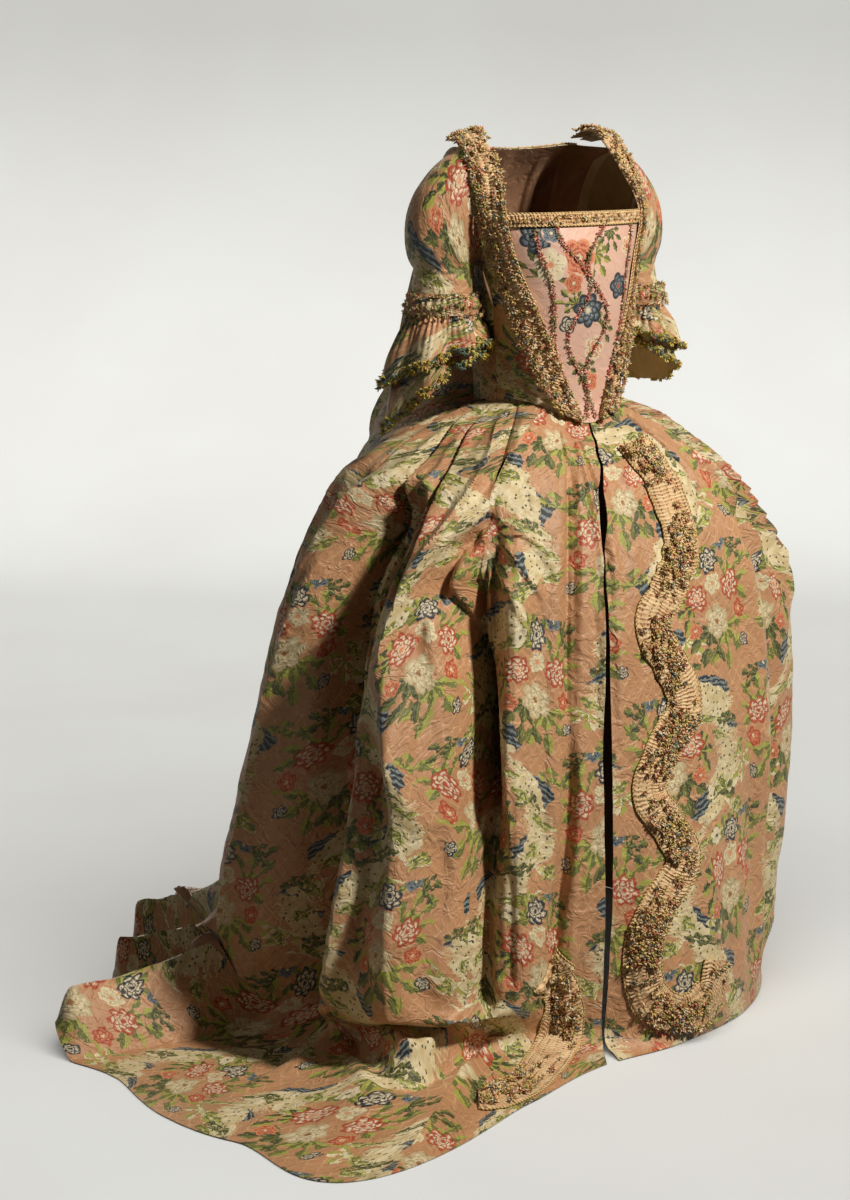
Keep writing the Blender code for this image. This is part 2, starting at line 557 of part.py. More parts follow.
def fold_cosines(points, faces):
    """The mean normal of the faces round each point, and the least cosine between it and them."""
    sides = np.cross(points[faces[:, 1]] - points[faces[:, 0]], points[faces[:, 2]] - points[faces[:, 0]])
    sides = sides / np.maximum(np.linalg.norm(sides, axis=1, keepdims=True), 1e-15)
    mean = np.zeros_like(points)
    for corner in faces.T:
        np.add.at(mean, corner, sides)
    mean /= np.maximum(np.linalg.norm(mean, axis=1, keepdims=True), 1e-12)
    least = np.ones(len(points))
    for corner in faces.T:
        np.minimum.at(least, corner, (sides * mean[corner]).sum(1))
    return mean, least


def facet_normals(points, faces, towards):
    """The mean normal of the faces round each point, all turned to the side that most of the given
    ones point to, and made longer at a sharp fold so that the wall keeps its thickness there."""
    mean, least = fold_cosines(points, faces)
    turn = 1.0 if (mean * towards).sum() > 0 else -1.0
    return turn * mean / np.clip(least, SHARPEST_FOLD, 1.0)[:, None]


def wall(name, middle, normal, material, thickness=CLOTH, closed=False, mirrored=False, relief=None, locks=0.0):
    """A closed wall: the grid of points moved half the thickness along the normals each way, joined
    along its edges. relief lifts only the outer face. locks draws every second edge face of the last
    row down to a tuft of that length."""
    rows, columns = middle.shape[:2]
    count = rows * columns
    middle = middle if closed else eased(middle)
    skin = split_evenly(middle.reshape(-1, 3), grid_faces(rows, columns, closed))
    normal = facet_normals(middle.reshape(-1, 3), skin, normal.reshape(-1, 3)).reshape(middle.shape)
    lift = thickness / 2 if relief is None else thickness / 2 + relief[..., None]
    outer, inner = middle + normal * lift, middle - normal * thickness / 2
    points = np.concatenate([outer.reshape(-1, 3), inner.reshape(-1, 3)])
    faces = [*skin.tolist(), *(skin[:, ::-1] + count).tolist()]
    edge_columns = range(columns if closed else columns - 1)
    last = (rows - 1) * columns
    extra = []
    for c in edge_columns:
        d = (c + 1) % columns
        faces.append([d, c, c + count, d + count])
        foot = [last + c, last + d, last + d + count, last + c + count]
        if locks and c % 2:
            middle_point = points[foot].mean(0)
            drop = middle[-1, c] + middle[-1, d] - middle[-2, c] - middle[-2, d]
            tip = len(points) + len(extra)
            extra.append(middle_point + drop / np.linalg.norm(drop) * locks)
            faces += [[foot[k], foot[(k + 1) % 4], tip] for k in range(4)]
        else:
            faces.append(foot)
    if not closed:
        for r in range(rows - 1):
            low, high = r * columns, (r + 1) * columns
            faces.append([low, high, high + count, low + count])
            end = columns - 1
            faces.append([high + end, low + end, low + end + count, high + end + count])
    if extra:
        points = np.concatenate([points, np.array(extra)])
    if mirrored:
        points = points * np.array([-1.0, 1.0, 1.0])
    points = points - np.array([0.0, 0.0, SHOULDER_HEIGHT])
    mesh = bpy.data.meshes.new(name)
    mesh.from_pydata(points.tolist(), [], faces)
    mesh.validate()
    piece = bpy.data.objects.new(name, mesh)
    bpy.context.scene.collection.objects.link(piece)
    mesh.materials.append(finish(material))
    face_outwards(mesh)
    mesh.shade_smooth()
    return piece


def face_outwards(mesh):
    """Turns the faces of a closed mesh round if its volume comes out negative."""
    mesh.calc_loop_triangles()
    points = np.empty(len(mesh.vertices) * 3)
    mesh.vertices.foreach_get("co", points)
    corners = np.empty(len(mesh.loop_triangles) * 3, int)
    mesh.loop_triangles.foreach_get("vertices", corners)
    a, b, c = np.moveaxis(points.reshape(-1, 3)[corners.reshape(-1, 3)], 1, 0)
    if (a * np.cross(b, c)).sum() < 0:
        mesh.flip_normals()


def finish(name):
    """The material of a kind of cloth."""
    if name in bpy.data.materials:
        return bpy.data.materials[name]
    colour, roughness = MATERIALS[name]
    material = bpy.data.materials.new(name)
    material.use_nodes = True
    shader = material.node_tree.nodes["Principled BSDF"]
    shader.inputs["Base Color"].default_value = colour
    shader.inputs["Roughness"].default_value = roughness
    return material


# ---------------------------------------------------------------- skirt and sack back
SKIRT_LEVELS = (
    0.0, 0.5, 1.0, 1.5, 2.0, 2.5, 3.0, 3.5, 4.0, 4.4, 4.8, 5.2, 5.6, 6.0, 6.4, 6.8, 7.2, 7.6, 8.0, 8.5, 9.0
)
FRONT_COLUMNS = {-1: 12, 1: 9}  # by side: -1 is the wearer's right
SIDE_COLUMNS = {-1: 27, 1: 17}
SACK_SPLITS = 20
SACK_UPPER_STEP = 0.75


def seam_shift(degrees, level, width):
    """Degrees that a width spans on the skirt at these directions."""
    return np.degrees(width / ring_radius(degrees, level))


def outward(surface, first, second):
    """Normals turned away from the body's axis, or upwards where the cloth lies."""
    n = normals(surface, first, second)
    points = surface(first, second)
    away = points * np.array([1.0, 1.0, 0.0])
    away = away / np.maximum(np.linalg.norm(away, axis=-1, keepdims=True), 1e-9) + np.array([0.0, 0.0, 1.0])
    return n * np.sign((n * away).sum(-1, keepdims=True))


def hanging(level, degrees):
    """The skirt with its parameters in the order of rows and columns."""
    return skirt(degrees, np.clip(level, 0.0, LAST))


def skirt_grid(start, end, columns):
    """Levels and directions of the corners of a skirt panel between two seams."""
    level = np.array(SKIRT_LEVELS)[:, None]
    share = np.linspace(0.0, 1.0, columns)[None, :]
    degrees = start(level) * (1 - share) + end(level) * share
    return level + 0 * degrees, degrees


def skirt_piece(name, start, end, columns):
    """A skirt panel between two directions that change with the level."""
    level, degrees = skirt_grid(start, end, columns)
    return wall(name, hanging(level, degrees), outward(hanging, level, degrees), "brocade")


def seam_gap(level):
    """Half the gap at a seam, wider where the cloth bunches on the floor."""
    return SEAM_GAP / 2 * (1 + 4.0 * smooth(level, 5.5, 6.4))


def opening_edge(side):
    """The front edge of one side of the skirt, half the opening's width from its middle."""

    def edge(level):
        middle = opening(level)
        return middle + side * seam_shift(middle, level, stepped(OPENING_WIDTHS, level) / 2)

    return edge


def pocket_edge(side, towards):
    """The pocket seam, which opens into the pocket slit at the hip."""

    def edge(level):
        middle = side * stepped(POCKET_SEAM, level)
        slit = POCKET_WIDTH * bump((level - (POCKET_TOP + POCKET_FOOT) / 2) / (POCKET_FOOT - POCKET_TOP) * 2)
        return middle + towards * seam_shift(middle, level, seam_gap(level) + slit / 2)

    return edge


def back_edge(side, towards):
    """The seam between the side skirt and the sack back."""

    def edge(level):
        middle = side * stepped(BACK_SEAM, level)
        return middle + towards * seam_shift(middle, level, seam_gap(level))

    return edge


def make_skirt():
    for side, word in ((-1, "right"), (1, "left")):
        skirt_piece(f"skirt_front_{word}", opening_edge(side), pocket_edge(side, -side), FRONT_COLUMNS[side])
        skirt_piece(f"skirt_side_{word}", pocket_edge(side, side), back_edge(side, -side), SIDE_COLUMNS[side])


def make_sack():
    """The back, in one piece from the neck to the end of the train."""
    upper = np.arange(-SACK_UPPER, -0.01, SACK_UPPER_STEP)
    level = np.concatenate([upper, SKIRT_LEVELS])[:, None]
    half = np.linspace(0.0, 1.0, SACK_SPLITS // 2 + 1)
    share = np.concatenate([-half[::-1], half[1:]])[None, :]
    seam = stepped(BACK_SEAM, np.clip(level, 0.0, LAST))
    radius = ring_radius(seam, np.clip(level, 0.0, LAST))
    gap = np.degrees(seam_gap(level) / radius) / (180.0 - seam)
    gap = np.where(level < 0, SIDE_GAP / 0.16, gap)
    share = np.clip(share, -1 + gap, 1 - gap)
    level = level + 0 * share

    def surface(lv, sh):
        return sack(sh, np.clip(lv, -SACK_UPPER, LAST))

    return wall("sack_back", surface(level, share), outward(surface, level, share), "brocade")


# ---------------------------------------------------------------- bodice
def away_from_axis(surface, first, second):
    """Normals turned away from the middle of the body."""
    n = normals(surface, first, second)
    points = surface(first, second)
    centre = np.array([0.0, 0.01, 1.2])
    return n * np.sign((n * (points - centre)).sum(-1, keepdims=True))


def panel(name, surface, first, second, material, lift=0.0, thickness=CLOTH, relief=None):
    """A pair of mirrored pieces cut from one surface and moved out by lift."""
    first, second = np.broadcast_arrays(first, second)
    n = away_from_axis(surface, first, second)
    middle = surface(first, second) + n * lift
    for word, mirrored in (("left", False), ("right", True)):
        wall(f"{name}_{word}", middle, n, material, thickness, mirrored=mirrored, relief=relief)


def front_reach(row):
    """How far across the front is cut: to the armhole, and above the bust only to the robing's edge,
    which meets the sleeve there."""
    return FRONT_EDGE - (FRONT_EDGE - FRONT_STRAP_EDGE) * smooth(row, *FRONT_NARROWS)


def make_fronts():
    rows = np.linspace(0.0, STRAP_END, 19)[:, None]
    share = np.array([0.0, 0.2, 0.4, 0.6, 0.8, 1.0])[None, :]
    panel("front", half_front, rows[:-1], 0.5 + (front_reach(rows[:-1]) - 0.5) * share, "brocade")
    panel("robing", half_front, rows, np.array([0.0, 0.25, 0.5, 0.75, 0.96])[None, :], "brocade", lift=LIFT)


def side_panel(row, across):
    """Under the arm: row 0 is the waist and 1 the armhole; across runs from the side seam back."""
    row, across = np.broadcast_arrays(np.asarray(row, float), np.asarray(across, float))
    degrees = SIDE_SEAM + (BACK_SEAM[0][1] - SIDE_SEAM) * across
    foot = SKIRT_RINGS[0].height + WAIST_GAP
    top = armhole(ARMHOLE_FRONT[0] - (ARMHOLE_FRONT[0] + SACK_ROWS[3].armhole) * across)
    below = torso(degrees, foot + (1.150 - foot) * row)
    blend = smooth(row, 0.55, 1.0)[..., None]
    mixed = below * (1 - blend) + top * blend
    mixed[..., 2] = foot + (top[..., 2] - foot) * row
    return mixed


def make_sides():
    across = np.linspace(0.006, 0.985, 6)[None, :]
    panel("side", side_panel, np.linspace(0.0, 0.985, 7)[:, None], across, "brocade")


STOMACHER_LIFT = 0.0003
NECK_RUCHES = 11


def stomacher_surface(height, across):
    """The stomacher fills the front between the robings."""
    inner = np.interp(height, [r.height for r in FRONT_ROWS], [r.inner_x for r in FRONT_ROWS])
    edge = np.degrees(np.arctan2(inner + 0.006, torso_radius(0.0, height) * 0.93))
    return torso(edge * across, height)


def make_stomacher():
    share = np.linspace(0.0, 1.0, 9)[:, None]
    across = np.linspace(-1.0, 1.0, 9)[None, :]
    foot = waistline(11.0 * across) + WAIST_GAP
    height = foot + (FRONT_ROWS[-1].height - foot) * share
    n = away_from_axis(stomacher_surface, height, across + 0 * height)
    middle = stomacher_surface(height, across) + n * STOMACHER_LIFT
    wall("stomacher", middle, n, "stomacher_silk")


def make_neck_ruche():
    """Gathered band along the top of the stomacher."""
    height = np.linspace(FRONT_ROWS[-1].height - 0.016, FRONT_ROWS[-1].height + 0.002, 3)[:, None]
    across = np.linspace(-0.93, 0.93, 2 * NECK_RUCHES + 1)[None, :]
    height, across = np.broadcast_arrays(height, across)
    n = away_from_axis(stomacher_surface, height, across)
    relief = 0.0022 * (np.arange(2 * NECK_RUCHES + 1) % 2)[None, :] * np.ones((3, 1))
    wall("neck_ruche", stomacher_surface(height, across) + n * (STOMACHER_LIFT + 0.0027), n, "trimming", relief=relief)


def make_back_neck_band():
    """A narrow band round the back of the neck, outside the top of the sack."""
    share = np.linspace(-0.60, 0.60, 17)[None, :]
    level = np.linspace(-5.72, -5.98, 2)[:, None]
    level, share = np.broadcast_arrays(level, share)
    n = outward(lambda lv, sh: sack(sh, np.clip(lv, -SACK_UPPER, LAST)), level, share)
    wall("back_neck_band", sack(share, level) + n * LIFT, n, "trimming")


# ---------------------------------------------------------------- sleeves and flounces
def make_sleeves():
    turn = np.concatenate([np.linspace(0.0, SLEEVE_TURN, 7), np.linspace(SLEEVE_TURN, 1.0, 4)[1:]])
    turn[0] = 0.012
    around = np.linspace(0.0, 360.0, 15)[:-1]
    turn, around = np.meshgrid(turn, around, indexing="ij")
    n = normals(sleeve, turn, around, (0.004, 1.0))
    middle = sleeve(turn, around) + np.array([SLEEVE_CLEAR, 0.0, 0.0])
    axis = middle.mean(1, keepdims=True)
    n = n * np.sign((n * (middle - axis)).sum(-1, keepdims=True))
    for word, mirrored in (("left", False), ("right", True)):
        wall(f"sleeve_{word}", middle, n, "brocade", closed=True, mirrored=mirrored)


def flounce_surface(flounce, gap):
    """A ruffled cone round the elbow, longest behind it: down the cloth, and degrees round."""

    def surface(down, around):
        down, around = np.broadcast_arrays(np.asarray(down, float), np.asarray(around, float))
        a = np.radians(around)
        share = 0.5 + 0.5 * np.cos(a - np.radians(FLOUNCE_LONG_DIRECTION))
        length = flounce.short + (flounce.long - flounce.short) * share**1.7
        length = length + FLOUNCE_SCALLOP * np.cos(FLOUNCE_WAVES * a)
        wave = FLOUNCE_WAVE_DEPTH * np.cos(FLOUNCE_WAVES * a) * smooth(down, 0.0, 0.7)
        spread = flounce.flare * (down - 0.35 * down**2) * length
        radius = flounce.radius + spread + wave
        middle = elbow(flounce.start)
        x = middle[0] + radius * np.sin(a)
        y = middle[1] - radius * np.cos(a)
        z = middle[2] - length * (0.80 * down + 0.12 * down**2)
        return np.stack([clear_of_body(x, z, gap), y, z], -1)

    return surface


def make_flounces():
    around = np.linspace(0.0, 360.0, 4 * FLOUNCE_WAVES + 1)[:-1]
    for flounce, gap in zip(FLOUNCES, FLOUNCE_BODY_GAPS):
        surface = flounce_surface(flounce, gap)
        down, turned = np.meshgrid(np.linspace(0.0, 1.0, 3), around, indexing="ij")
        n = normals(surface, down, turned, (0.01, 0.5))
        middle = surface(down, turned)
        away = middle - elbow(flounce.start)
        n = n * np.sign((n * away).sum(-1, keepdims=True))
        strip = np.linspace(1.0 - FRINGE_STRIP / flounce.short, 1.0, 2)
        edge_down, edge_turned = np.meshgrid(strip, np.linspace(0.0, 360.0, 2 * FRINGE_LOCKS + 1)[:-1], indexing="ij")
        edge_n = normals(surface, edge_down, edge_turned, (0.01, 0.5))
        edge = surface(edge_down, edge_turned)
        edge_n = edge_n * np.sign((edge_n * (edge - elbow(flounce.start))).sum(-1, keepdims=True))
        for word, mirrored in (("left", False), ("right", True)):
            wall(f"flounce_{flounce.name}_{word}", middle, n, "brocade", closed=True, mirrored=mirrored)
            wall(
                f"fringe_{flounce.name}_{word}",
                edge + edge_n * FRINGE_LIFT,
                edge_n,
                "fly_fringe",
                closed=True,
                mirrored=mirrored,
                locks=FRINGE_LOCK,
            )


def make_cuff_ruches():
    """The gathered heading that covers the seam of the flounces."""
    waves = 12
    around = np.linspace(0.0, 360.0, 2 * waves + 1)[:-1]
    height = np.array([1.121, 1.107, 1.093])
    bulge = np.array([0.0046, 0.0066, 0.0080])
    a = np.radians(around)[None, :]
    middle = elbow(0.0)
    radius = SLEEVE_HALF_WIDTH + 0.0030 + bulge[:, None] + 0 * a
    level = height[:, None] + 0 * a
    x = clear_of_body(middle[0] + radius * np.sin(a), level, 0.0036)
    points = np.stack([x, middle[1] - radius * np.cos(a), level], -1)
    n = np.stack([np.sin(a) + 0 * radius, -np.cos(a) + 0 * radius, 0 * radius], -1)
    relief = 0.0028 * (np.arange(2 * waves) % 2)[None, :] * np.ones((3, 1))
    for word, mirrored in (("left", False), ("right", True)):
        wall(f"cuff_ruche_{word}", points, n, "trimming", closed=True, mirrored=mirrored, relief=relief)


# ---------------------------------------------------------------- serpentine trimming
def trim_line(table, points):
    """The trim's centreline as evenly spaced (level, degrees)."""
    track = catmull(np.array([[p.level, p.degrees] for p in table]), np.linspace(0, len(table) - 1, 400))
    way = hanging(track[:, 0], track[:, 1])
    run = np.concatenate([[0.0], np.cumsum(np.linalg.norm(np.diff(way, axis=0), axis=1))])
    at = np.linspace(0.0, run[-1], points)
    return np.stack([np.interp(at, run, track[:, 0]), np.interp(at, run, track[:, 1])], -1)


def band(line, half_width, columns):
    """A band of even width along a line on the skirt, as (level, degrees) of its corners."""
    level, degrees = line[:, 0], line[:, 1]
    down = (hanging(level + 0.02, degrees) - hanging(level - 0.02, degrees)) / 0.04
    round_ = (hanging(level, degrees + 0.2) - hanging(level, degrees - 0.2)) / 0.4
    along = np.gradient(hanging(level, degrees), axis=0)
    n = np.cross(down, round_)
    sideways = np.cross(n, along)
    sideways /= np.linalg.norm(sideways, axis=1, keepdims=True)
    frame = np.stack([down, round_], -1)
    step = np.einsum("nij,nj->ni", np.linalg.pinv(frame), sideways)
    reach = np.linspace(-half_width, half_width, columns)
    return line[:, None, :] + step[:, None, :] * reach[None, :, None]


def faceted(side):
    """The flat-faced front panel of the skirt as a surface of level and direction."""
    columns = FRONT_COLUMNS[side]
    level, degrees = skirt_grid(opening_edge(side), pocket_edge(side, -side), columns)
    corners = hanging(level, degrees)

    def surface(lv, dg):
        lv, dg = np.broadcast_arrays(lv, dg)
        row = np.clip(np.interp(lv, SKIRT_LEVELS, np.arange(len(SKIRT_LEVELS))), 0, len(SKIRT_LEVELS) - 1.001)
        start, end = (np.interp(lv, SKIRT_LEVELS, degrees[:, k]) for k in (0, -1))
        column = np.clip((dg - start) / (end - start) * (columns - 1), 0, columns - 1.001)
        r, c = row.astype(int), column.astype(int)
        u, v = (row - r)[..., None], (column - c)[..., None]
        upper = corners[r, c] * (1 - v) + corners[r, c + 1] * v
        lower = corners[r + 1, c] * (1 - v) + corners[r + 1, c + 1] * v
        return upper * (1 - u) + lower * u

    return surface


def make_trims():
    for side, word, table, ruches in (
        (-1, "right", TRIM_RIGHT, RUCHES_RIGHT),
        (1, "left", TRIM_LEFT, RUCHES_LEFT),
    ):
        line = trim_line(table, 2 * ruches + 1)
        flat = band(line, TRIM_HALF_WIDTH, 4)
        relief = RUCHE_DEPTH * (np.arange(len(line)) % 2)[:, None] * np.ones((1, 4))
        surface = faceted(side)
        n = outward(surface, flat[..., 0], flat[..., 1])
        middle = surface(flat[..., 0], flat[..., 1]) + n * TRIM_LIFT[side]
        wall(f"trim_{word}", middle, n, "trimming", TRIM_WALL, relief=relief)


def clear_scene():
    for thing in list(bpy.data.objects):
        bpy.data.objects.remove(thing, do_unlink=True)


def main():
    clear_scene()
    make_skirt()
    make_sack()
    make_fronts()
    make_sides()
    make_stomacher()
    make_neck_ruche()
    make_back_neck_band()
    make_sleeves()
    make_flounces()
    make_cuff_ruches()
    make_trims()


main()
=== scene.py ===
"""Robe a la francaise, dressed: the gown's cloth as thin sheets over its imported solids.

A sack-back gown over side hoops, with stomacher, robings, double sleeve flounces, ruched cuffs
and serpentine trimming edged with fly fringe. The silk is a brocade: flower sprays in ogee
compartments between meandering lace bands and twisted ribbons, on a scale-patterned ground.

Metres, +Z up. The wearer faces -Y and +X is the wearer's left. Heights in the tables are above
the floor; the origin is where the shoulders carry the gown, SHOULDER_HEIGHT above the floor.
"""

import math
from collections import namedtuple
from functools import partialmethod

import bpy
import numpy as np
from mathutils import Matrix, Vector


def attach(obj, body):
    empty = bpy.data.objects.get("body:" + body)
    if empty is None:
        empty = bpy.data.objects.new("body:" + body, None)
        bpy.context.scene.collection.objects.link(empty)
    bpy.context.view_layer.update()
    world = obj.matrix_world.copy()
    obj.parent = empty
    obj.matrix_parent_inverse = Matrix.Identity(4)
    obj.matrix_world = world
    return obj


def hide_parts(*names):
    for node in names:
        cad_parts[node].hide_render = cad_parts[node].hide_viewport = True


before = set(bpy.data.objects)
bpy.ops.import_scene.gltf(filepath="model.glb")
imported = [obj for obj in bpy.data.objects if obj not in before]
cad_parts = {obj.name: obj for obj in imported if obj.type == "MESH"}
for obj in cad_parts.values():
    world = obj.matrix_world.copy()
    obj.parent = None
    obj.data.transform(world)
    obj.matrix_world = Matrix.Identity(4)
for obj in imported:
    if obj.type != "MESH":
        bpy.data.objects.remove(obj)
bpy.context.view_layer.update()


def table(fields, *rows):
    """Rows of named values."""
    return [namedtuple("Row", fields)(*row) for row in rows]


# ---------------------------------------------------------------- driving dimensions (metres)
SHOULDER_HEIGHT = 1.365
SIDE_GAP = 0.0008  # from the side panels to the sack back above the waist
SEAM_HALF_GAP = 0.00005  # half the gap at a sewn seam of the skirt
TUFT_ROOT_LIFT = 0.0012  # where tufts are sewn on, above a sheet's middle
BAND_LIFT = 0.0022  # the same as LIFT, for a strip that is pressed flatter
SACK_HALF_WIDTH = 0.16  # round half the sack back above the waist
LIFT = 0.0031  # how far the middle of a piece lies above the middle of the cloth under it
FLOOR_CLEAR = 0.0010  # middle of the lowest cloth above the floor: half a wall

UP = np.array([0.0, 0.0, 1.0])
LEVELLED = np.array([1.0, 1.0, 0.0])  # times a direction: its level part
BODY_CENTRE = np.array([0.0, 0.01, 1.2])  # inside the bodice

DIRECTION_STEP = 30.0  # degrees between the columns of SKIRT_RINGS, from front to the wearer's left

# Radius of the gown from the body's axis, by direction, at each height of the skirt, in millimetres.
SKIRT_RINGS = table(
    "name height front_dip front front_left left_front left left_back back_left "
    "back back_right right_back right right_front front_right",
    ("waist", 955, 35, 120, 117, 113, 114, 114, 264, 244, 268, 114, 114, 113, 117),
    ("yoke", 930, 28, 134, 144, 160, 172, 166, 276, 256, 284, 172, 178, 166, 146),
    ("hip_top", 885, 12, 168, 190, 230, 258, 252, 296, 274, 302, 262, 262, 240, 194),
    ("hip", 820, 0, 212, 240, 300, 342, 325, 316, 295, 306, 312, 338, 318, 246),
    ("hoop", 680, 0, 266, 298, 366, 408, 395, 366, 348, 350, 372, 404, 386, 306),
    ("knee", 440, 0, 312, 332, 382, 422, 430, 420, 415, 425, 432, 444, 430, 350),
    ("shin", 220, 0, 340, 344, 370, 408, 440, 470, 490, 490, 484, 490, 486, 360),
    ("ankle", 95, 0, 350, 350, 362, 398, 448, 515, 575, 540, 500, 498, 492, 352),
    ("floor", 22, 0, 357, 352, 362, 396, 465, 570, 655, 595, 535, 505, 470, 345),
    ("hem", 0, 0, 361, 352, 366, 410, 485, 630, 800, 700, 675, 770, 800, 440),
)
LAST = len(SKIRT_RINGS) - 1
# Blunt corners that the hem is pulled out to on the wearer's right.
HEM_CORNERS = table(
    "name direction half_width reach", ("front", -52.5, 15.0, 0.120), ("back", -101.0, 13.0, 0.060)
)
DIP_HALF_WIDTH = 48.0  # degrees either side of the centre front over which the waist dips
WAIST_GAP = 0.0048  # from the top of the skirt to the foot of the bodice

# The seams of the skirt: directions at ring levels, on the wearer's left. The front opening drifts to
# the wearer's right.
OPENING = ((0.0, 0.0), (1.0, -1.0), (2.0, -6.0), (3.0, -12.0), (4.0, -16.5), (5.0, -18.6), (9.0, -19.6))
OPENING_WIDTHS = ((0.0, 0.004), (2.0, 0.006), (5.0, 0.016), (7.0, 0.008), (8.0, 0.004), (9.0, 0.022))
POCKET_SEAM = ((0.0, 38.0), (2.4, 52.0), (5.0, 50.0), (9.0, 50.0))
BACK_SEAM = ((0.0, 120.0), (3.0, 128.0), (6.0, 136.0), (9.0, 140.5))
POCKET_TOP, POCKET_FOOT, POCKET_WIDTH = 1.75, 2.75, 0.007

# Large folds of the skirt. Levels count the rings; directions are degrees from the centre front,
# positive towards the wearer's left; depth is outwards, and upwards where the cloth lies.
SKIRT_FOLDS = table(
    "name top foot top_deg mid_deg foot_deg half_width depth",
    ("right_drawn_point", 2.7, 4.1, -50, -50, -50, 4.5, -0.024),
    ("right_front_crease", 1.5, 8.2, -21, -30, -33, 4.0, -0.012),
    ("right_front_ridge", 2.8, 7.8, -44, -41, -41, 6.5, 0.026),
    ("right_edge_hollow", 3.2, 7.4, -51, -48, -50, 5.5, -0.060),
    ("right_swag", 2.6, 5.6, -50, -65, -50, 6.0, 0.036),
    ("right_pouf", 3.7, 8.7, -62, -60, -59, 14.0, 0.060),
    ("right_pouf_edge", 2.4, 8.5, -67, -71, -77, 6.5, 0.034),
    ("right_deep_hollow", 2.5, 9.6, -74, -84, -89, 12.5, -0.120),
    ("right_side_ridge", 1.8, 8.7, -82, -101, -104, 8.0, 0.040),
    ("right_back_hollow", 2.2, 8.2, -94, -112, -117, 5.5, -0.030),
    ("right_back_ridge", 1.8, 8.0, -104, -121, -128, 7.5, 0.026),
    ("front_soft_left", 4.0, 8.4, 16, 12, 8, 9.0, 0.008),
    ("left_drawn_point", 2.7, 4.1, 50, 50, 50, 6.0, -0.018),
    ("left_front_edge", 3.2, 8.6, 43, 42, 41, 6.0, 0.012),
    ("left_edge_hollow", 3.4, 8.4, 52, 53, 52, 5.0, -0.024),
    ("left_pouf", 3.4, 8.6, 64, 63, 61, 10.0, 0.026),
    ("left_side_hollow", 3.0, 8.6, 76, 77, 77, 6.5, -0.036),
    ("left_side_ridge", 2.4, 8.8, 86, 88, 89, 8.0, 0.024),
    ("left_back_hollow", 2.6, 8.6, 97, 101, 103, 6.5, -0.036),
    ("left_back_ridge", 2.2, 8.8, 108, 113, 116, 8.0, 0.028),
    ("train_ridge_near", 6.6, 11.0, -104, -101, -97, 9.0, 0.095),
    ("train_ridge_second", 6.2, 11.0, -118, -117, -114, 7.5, 0.100),
    ("train_ridge_third", 6.2, 11.0, -136, -134, -131, 8.5, 0.098),
    ("train_ridge_last", 7.4, 11.0, -154, -152, -150, 10.0, 0.060),
)
# Knife pleats that take the side skirts into the waist on each side.
PLEATS_A_SIDE = 6
PLEAT_FROM, PLEAT_TO = 44.0, 116.0
PLEAT_DEPTH = 0.007
PLEAT_FOOT = 3.2

# The fitted body under the bodice: superellipse sections round the body's axis.
TORSO = table(
    "height half_width front back",
    (0.900, 0.113, 0.128, 0.080),
    (0.920, 0.113, 0.121, 0.080),
    (0.955, 0.113, 0.112, 0.080),
    (1.010, 0.115, 0.112, 0.085),
    (1.080, 0.119, 0.118, 0.092),
    (1.150, 0.125, 0.122, 0.098),
    (1.200, 0.140, 0.118, 0.098),
    (1.250, 0.156, 0.102, 0.095),
)
TORSO_POWER = 2.4

# The sleeve turns from the tilted armhole to a level ring about a line under the arm.
ARM_PIVOT = (0.1205, 0.022, 1.158)
ARM_PIVOT_GAP = 0.0065
ARMHOLE_TILT = 78.0
ARMHOLE_HALF_HEIGHT, ARMHOLE_HALF_DEPTH = 0.084, 0.056
SLEEVE_HALF_WIDTH, SLEEVE_HALF_DEPTH = 0.046, 0.046
SLEEVE_TURN = 0.45  # share of the sleeve's rows that turn
SLEEVE_END = 1.0887
ARMHOLE_EASE = 0.0046  # from the sleeve's first ring out to the edge of the bodice
SLEEVE_CLEAR = 0.0020  # sideways, from the bodice's armhole to the sleeve
SLEEVE_FORWARD, SLEEVE_OUT = -0.006, 0.004  # where the elbow lies from the armhole

# Front edge of the gown: where the robing's inner edge runs, and over the shoulder to the neck.
FRONT_ROWS = table(
    "name height inner_x",
    ("point", 0.9215, 0.016),
    ("waist", 0.965, 0.036),
    ("ribs", 1.040, 0.062),
    ("under_bust", 1.110, 0.086),
    ("bust", 1.175, 0.109),
    ("neckline", 1.240, 0.124),
)
FRONT_FOOT, NECKLINE = FRONT_ROWS[0].height, FRONT_ROWS[-1].height
ROBING_WIDTHS = (0.036, 0.044, 0.047, 0.047, 0.042, 0.036)
STRAP_ROWS = table(
    "name inner_x inner_y inner_z outer_x outer_y outer_z",
    ("rise", 0.114, -0.036, 1.302, 0.1475, -0.022, 1.292),
    ("crest", 0.106, 0.022, 1.356, 0.1475, 0.022, 1.342),
    ("back", 0.095, 0.062, 1.3455, 0.132, 0.058, 1.3430),
)
UNDERARM = 1.150
SIDE_SEAM = 76.0  # direction of the seam under the arm
ARMHOLE_FRONT = (25.0, 58.0, 92.0, 132.0, 172.0)  # round the armhole from its foot to its top

